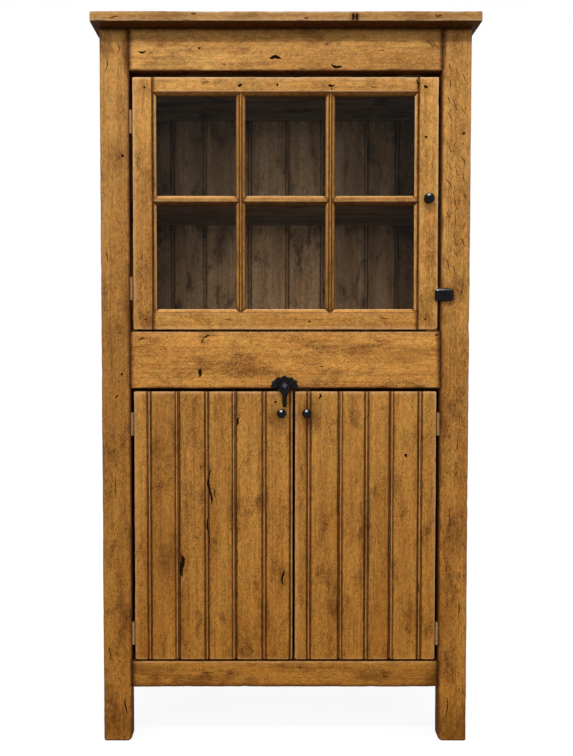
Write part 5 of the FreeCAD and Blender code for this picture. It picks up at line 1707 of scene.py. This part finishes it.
# %% Latch plate
PLATE_LOW = extent("latch_plate")[0]
NUT_LOW = extent("latch_screw")[0]
LATCH_X = middle_of("latch_plate")[0]
PLATE_DROP = 8.5  # mm from the pivot down to the plate's lower edge
LATCH_Z = PLATE_LOW[2] + PLATE_DROP
PETALS = 7
PLATE_HALF, PLATE_RISE, PETAL_TIP, PLATE_THICK = 33.0, 20.5, 4.5, 4.0
PLATE_ROWS, PLATE_COLUMNS = 8, PETALS * 10
first_turn = -math.degrees(math.asin(PLATE_DROP / PLATE_RISE))
petal_step = (180 - 2 * first_turn) / PETALS
grid = []
for column in range(PLATE_COLUMNS + 1):
    turn = first_turn + petal_step * PETALS * column / PLATE_COLUMNS
    rib = 1 - abs(2 * ((turn - first_turn) / petal_step % 1.0) - 1)
    bulge = PETAL_TIP * rib**1.25
    across = (PLATE_HALF + bulge) * math.cos(math.radians(turn))
    rise = (PLATE_RISE + bulge) * math.sin(math.radians(turn))
    for row in range(PLATE_ROWS + 1):
        share = 0.12 + 0.88 * row / PLATE_ROWS
        thick = 0.8 + 1.7 * (1 - share**3) + 1.5 * rib * share * (1 - 0.75 * (row == PLATE_ROWS))
        z = max(LATCH_Z + rise * share, PLATE_LOW[2])
        grid.append((LATCH_X + across * share, FRAME_FACE - min(thick, PLATE_THICK), z))
front = np.array(grid)
back = front.copy()
back[:, 1] = FRAME_FACE + 0.3
plate_faces = []
width, layer = PLATE_ROWS + 1, len(front)
for column in range(PLATE_COLUMNS):
    for row in range(PLATE_ROWS):
        a = column * width + row
        plate_faces.append((a, a + 1, a + width + 1, a + width))
        plate_faces.append((layer + a, layer + a + width, layer + a + width + 1, layer + a + 1))
rim_loop = [c * width + PLATE_ROWS for c in range(PLATE_COLUMNS + 1)]
inner_loop = [c * width for c in range(PLATE_COLUMNS + 1)]
end_loops = [list(range(width)), [PLATE_COLUMNS * width + r for r in range(width)]]
for loop in (rim_loop, inner_loop, *end_loops):
    for a, b in zip(loop, loop[1:]):
        plate_faces.append((a, b, layer + b, layer + a))
plate = (np.concatenate([front, back]), plate_faces)
join_solids("latch_plate_shell", [plate], BLACK_IRON, "latch_plate", angle=25.0)
print("plate faces:", len(plate_faces))

# %% [markdown]
# The pear was forged in one piece: a round head, two hollows and a stem. Its edge is made of arcs,
# and the same outline, moved inwards as it rises, gives a rounded front without any sculpting.

# %% Latch pear
PEAR_LOW, PEAR_HIGH = extent("latch_pear")
PEAR_RINGS = (  # inset of the outline and height above the back
    (1.2, 0.0), (0.2, 1.2), (0.0, 3.5), (0.6, 7.5), (1.6, 10.8), (3.0, 13.6), (4.4, 15.2), (5.2, 15.6),
)
HEAD_RADIUS, HEAD_DROP, NECK_RADIUS, STEM_HALF = 18.5, 4.0, 30.0, 6.0


def pear_outline():
    """The pear's edge as the CAD draws it: head, two hollows and a stem with a round end."""
    head_z = LATCH_Z - HEAD_DROP
    across = STEM_HALF + NECK_RADIUS
    fall = math.sqrt((HEAD_RADIUS + NECK_RADIUS) ** 2 - across**2)
    lean = math.degrees(math.asin(across / math.hypot(across, fall)))
    tail_z = PEAR_LOW[2] + STEM_HALF
    outline = []

    def arc(cx, cz, radius, first, last, steps):
        for step in range(steps + 1):
            turn = math.radians(first + (last - first) * step / steps)
            outline.append((cx + radius * math.cos(turn), cz + radius * math.sin(turn)))

    arc(LATCH_X + across, head_z - fall, NECK_RADIUS, 180, 90 + lean, 8)
    arc(LATCH_X, head_z, HEAD_RADIUS, lean - 90, 270 - lean, 34)
    arc(LATCH_X - across, head_z - fall, NECK_RADIUS, 90 - lean, 0, 8)
    arc(LATCH_X, tail_z, STEM_HALF, 180, 360, 10)
    return np.array([spot for n, spot in enumerate(outline) if math.dist(spot, outline[n - 1]) > 0.05])


def pull_in(outline, amount):
    """Moves each point of an outline inwards, never past the pear's middle line."""
    moved = outline - mitres(outline) * amount
    crossed = (moved[:, 0] - LATCH_X) * (outline[:, 0] - LATCH_X) < 0
    moved[crossed, 0] = LATCH_X + 0.15 * np.sign(outline[crossed, 0] - LATCH_X)
    return moved


pear_edge = pear_outline()
pear_rings = []
for inset, out in PEAR_RINGS:
    ring = pull_in(pear_edge, inset)
    slim = np.clip((ring[:, 1] - PEAR_LOW[2]) / 34.0, 0.55, 1.0)  # the stem is slimmer than the head
    pear_rings.append([(x, PEAR_HIGH[1] - out * s, z) for (x, z), s in zip(ring, slim)])
join_solids(
    "latch_pear_forged", [stacked(pear_rings)], BLACK_IRON, "latch_pear", angle=60.0
)
print("pear depth", round(PEAR_HIGH[1] - PEAR_LOW[1], 1), "mm")

# %% [markdown]
# A square nut with filed corners, a little askew, clamps the pear. Its iron is much brighter than the rest,
# as worn metal and as a painted highlight on its filed edges, so it has a material of its own.

# %% Nut
NUT_SIZE, NUT_HEIGHT, NUT_TURN = 11.0, 3.5, 35.0
nut_back = NUT_LOW[1] + NUT_HEIGHT
cosine, sine = math.cos(-math.radians(NUT_TURN)), math.sin(-math.radians(NUT_TURN))
nut_rings = []
for inset, out in ((0.0, 0.0), (0.0, 1.8), (1.7, NUT_HEIGHT), (3.2, NUT_HEIGHT)):
    half = NUT_SIZE / 2 - inset
    nut_rings.append([
        (LATCH_X + x * cosine - z * sine, nut_back - out, LATCH_Z + x * sine + z * cosine)
        for x, z in ((half, half), (-half, half), (-half, -half), (half, -half))
    ])
shank = lathe([(2.4, -36.0), (2.4, 0.5)], (LATCH_X, nut_back, LATCH_Z), 12)
join_solids(
    "latch_screw_nut", [stacked(nut_rings), shank], BRIGHT_NUT_IRON, "latch_screw", angle=25.0
)
print("nut across its flats:", NUT_SIZE, "mm")

# %% [markdown]
# ## Hinges, screws and nails
#
# The hinges keep their CAD shape. They get the heads of their pins, and countersunk screws on the
# leaves, which show when a door is open. Cut nails hold the top, the sides, the back and the ledges:
# they were driven in until their heads went under the surface, and rusted dark.

# %% Hinges
LEAF_NODES = (
    "hinge_frame_leaves", "glazed_door_hinge_leaves", "left_door_hinge_leaves",
    "right_door_hinge_leaves",
)
for node in (*LEAF_NODES, "hinge_pins"):
    dress(node, OLD_BRASS)
dress("turn_button_screw", BLACK_IRON)

PIN_HEAD = [(3.2, -0.4), (4.1, 0.2), (4.2, 1.0), (3.4, 1.9), (1.8, 2.4), (0.3, 2.5)]
heads = []
for low, high in split_blocks("hinge_pins"):
    x, y, _ = (low + high) / 2
    heads.append(lathe(PIN_HEAD, (x, y, high[2]), 20, axis="z", out=1.0))
    heads.append(lathe(PIN_HEAD, (x, y, low[2]), 20, axis="z", out=-1.0))
join_solids("hinge_pin_heads", heads, OLD_BRASS, "hinge_pins", replace=False)

LEAF_THICK = 2.0
SCREW_HEAD = [(3.4, -0.8), (3.4, 0.05), (2.9, 0.25), (0.6, 0.3)]
SCREW_PLACES = ((10.5, 0.18), (16.0, 0.5), (10.5, 0.82))  # mm behind the pin, share of the height
for node in LEAF_NODES:
    screws = []
    for low, high in split_blocks(node):
        on_right = (low[0] + high[0]) > 0
        leaf_right = on_right == (node == "hinge_frame_leaves")  # the plate lies on this side of the pin
        x = high[0] - LEAF_THICK if leaf_right else low[0] + LEAF_THICK
        for y, rise in SCREW_PLACES:
            place = (x, low[1] + y, low[2] + rise * (high[2] - low[2]))
            screws.append(lathe(SCREW_HEAD, place, 16, axis="x", out=-1.0 if leaf_right else 1.0))
    join_solids(node + "_screws", screws, OLD_BRASS, node, replace=False)
print("hinge screws on", len(LEAF_NODES), "nodes")

# %% [markdown]
# Each nail head is a tiny turned solid, set a little off the line by a seeded random move, as a hand
# would drive it. It is sunk by a fixed amount, so it shows as a rusty spot only where the face of
# the board dishes that deep. Most of the heads stay just under the wood.

# %% Nails
NAIL_HEAD = [(2.6, -1.5), (2.7, 0.0), (2.2, 0.12), (0.4, 0.14)]
NAIL_SUNK = 0.45  # mm
NAIL_DRIFT = {"x": (0, 1, 1), "y": (1, 0, 1), "z": (1, 1, 0)}  # the two ways along the board
NAIL_HEIGHTS = (208.0, 1093.0, 1880.0)
rng = np.random.default_rng(91)


def nails(name, node, spots, axis, out):
    """Sunk nail heads at these places, each a little off the line as a hand drives them."""
    solids = []
    for spot in spots:
        place = np.array(spot) + rng.uniform(-1.2, 1.2, 3) * NAIL_DRIFT[axis]
        solids.append(lathe(NAIL_HEAD, place, 10, 0.3, 5, axis, out))
    join_solids(name, solids, RUSTED_IRON, node, replace=False, angle=50.0)


z = extent("top_board")[1][2] - NAIL_SUNK
case_half = abs(POST_LOW[0])
rows = [(x, FRAME_FACE + 14.0, z) for x in np.linspace(-450, 450, 6)]
rows += [(x, CASE_BACK - 8.0, z) for x in np.linspace(-440, 440, 5)]
rows += [(side * (case_half - 10.0), y, z) for side in (-1, 1) for y in (-60.0, 70.0, 180.0)]
nails("top_board_nails", "top_board", rows, "z", 1.0)
for side, name in ((-1, "left"), (1, "right")):
    x = side * (case_half - NAIL_SUNK)
    for place, depths in (("front", (-110.0, -30.0)), ("back", (90.0, 190.0))):
        rows = [(x, y, z) for z in NAIL_HEIGHTS for y in depths]
        nails(f"side_{name}_{place}_nails", f"side_{name}_{place}_board", rows, "x", float(side))
for number in range(1, 9):
    node = f"back_board_{number}"
    middle = middle_of(node)[0]
    rows = [(middle + dx, CASE_BACK - NAIL_SUNK, z) for z in NAIL_HEIGHTS for dx in (-24.0, 24.0)]
    nails(f"{node}_nails", node, rows, "y", 1.0)
BATTEN_NAILS = ((0.08, -14), (0.24, -14), (0.42, 14), (0.58, 14), (0.76, -14), (0.92, -14))
for name in ("left_door", "right_door"):
    rows = []
    for low, high in split_blocks(f"{name}_battens"):
        middle = (low[2] + high[2]) / 2
        for share, drop in BATTEN_NAILS:
            rows.append((low[0] + share * (high[0] - low[0]), high[1] - NAIL_SUNK, middle + drop))
    nails(f"{name}_nails", f"{name}_battens", rows, "y", 1.0)

# %% [markdown]
# ## Light and ground
#
# A ceiling lamp a metre and a half in front of the doors and above their left half throws the top
# board's shadow on the rail below it, and short shadows down and to the right of the knobs. Its
# light fades towards the floor. The rest is soft light from the walls of the room, with very little
# from below, so the underside of the top board and the legs' insides stay dark.
#
# The world and the floor are white only for rays that come from the camera, a mirror or glass, so
# the backdrop is white while the light on the wood stays level. For those rays the floor adds a
# glow of its own to a grey paint, which still shows the cupboard's shadow.

# %% Lamp
LAMP_PLACE = (-350.0, FRAME_FACE - 1495.0, 3278.0)
LAMP_SIZE = 260.0
LAMP_WATTS = 27.0
lamp_data = bpy.data.lights.new("ceiling_lamp", "AREA")
lamp_data.shape = "DISK"
lamp_data.size = LAMP_SIZE * MM
lamp_data.energy = LAMP_WATTS
lamp_data.color = (1.0, 0.985, 0.96)
lamp = bpy.data.objects.new("ceiling_lamp", lamp_data)
lamp.location = Vector(LAMP_PLACE) * MM
aim = Vector((0, 0, 1.0)) - lamp.location
lamp.rotation_euler = aim.to_track_quat("-Z", "Y").to_euler()
bpy.context.scene.collection.objects.link(lamp)
print("lamp:", LAMP_WATTS, "W,", LAMP_SIZE, "mm across")

# %% [markdown]
# The soft light of a room could come from many lamps. A gradient in the world is simpler and has no
# noise of its own: strong from the height of the walls, weaker from above and very weak from below.

# %% World
WALL_LIGHT, SKY_LIGHT, LOW_LIGHT = 1.25, 0.50, 0.10  # from the walls, from above and from below


def seen_directly(tree):
    """1 for rays from the camera, from a mirror or through glass, and 0 for the light on the wood.

    Light that leaves the inside through the panes lights the wood too, so it also gets 0."""
    path = add(tree, "ShaderNodeLightPath").outputs
    larger = {"operation": "MAXIMUM"}
    seen = path["Is Camera Ray"]
    for name in ("Is Glossy Ray", "Is Transmission Ray"):
        seen = add(tree, "ShaderNodeMath", larger, _0=seen, _1=path[name]).outputs[0]
    combine = recipe(tree)[3]
    return combine("SUBTRACT", seen, path["Diffuse Depth"])


world = bpy.data.worlds.new("studio")
bpy.context.scene.world = world
world.use_nodes = True
tree = world.node_tree
tree.nodes.clear()
direction = add(tree, "ShaderNodeTexCoord").outputs["Generated"]
rise = add(tree, "ShaderNodeSeparateXYZ", {}, Vector=direction).outputs["Z"]
band = recipe(tree)[2]
above = band(rise, 0.40, 0.70, WALL_LIGHT, SKY_LIGHT, "LINEAR")
share = band(rise, -0.06, 0.06, kind="LINEAR")
number_mix = {"data_type": "FLOAT"}
soft = add(tree, "ShaderNodeMix", number_mix, Factor=share, _2=LOW_LIGHT, _3=above).outputs[0]
seen = seen_directly(tree)
strength = add(tree, "ShaderNodeMix", number_mix, Factor=seen, _2=soft, _3=1.0).outputs[0]
background = add(tree, "ShaderNodeBackground", {}, Color=(1, 1, 1, 1), Strength=strength)
add(tree, "ShaderNodeOutputWorld", {}, Surface=background.outputs[0])
print("world nodes:", len(tree.nodes))

# %% [markdown]
# The floor is one large plane. It isn't part of the cupboard, so it is declared as stage. It takes
# the shadow around the feet and gives back a little light.

# %% Floor
FLOOR_HALF = 12.0  # metres
FLOOR_GLOW = 0.88  # the white that the floor adds for rays that see it directly
floor_mesh = bpy.data.meshes.new("floor")
corners = [(x * FLOOR_HALF, y * FLOOR_HALF, 0) for x, y in ((-1, -1), (1, -1), (1, 1), (-1, 1))]
floor_mesh.from_pydata(corners, [], [(0, 1, 2, 3)])
floor = bpy.data.objects.new("floor", floor_mesh)
bpy.context.scene.collection.objects.link(floor)
floor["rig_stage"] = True
material, tree = new_material("pale_floor")
paint = add(tree, "ShaderNodeBsdfDiffuse", {}, Color=colour("#848484"))
glow = add(tree, "ShaderNodeEmission", {}, Color=(1, 1, 1, 1), Strength=FLOOR_GLOW)
seen_floor = add(tree, "ShaderNodeAddShader", {}, _0=paint.outputs[0], _1=glow.outputs[0])
dark_floor = add(tree, "ShaderNodeBsdfDiffuse", {}, Color=colour("#595959"))
seen = seen_directly(tree)
surface = add(
    tree, "ShaderNodeMixShader", {}, Fac=seen, _1=dark_floor.outputs[0], _2=seen_floor.outputs[0]
)
add(tree, "ShaderNodeOutputMaterial", {}, Surface=surface.outputs[0])
floor_mesh.materials.append(material)
print("floor:", 2 * FLOOR_HALF, "m wide")

# %% [markdown]
# ## Finish
#
# The colours were chosen for the plain view transform. Everything drawn here should fill the CAD box again
# and not pass it, so the box of everything drawn is printed.

# %% Finish
bpy.context.scene.view_settings.view_transform = "Standard"
low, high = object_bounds()
print("visual box in mm:", [round(c / MM, 1) for c in low], [round(c / MM, 1) for c in high])
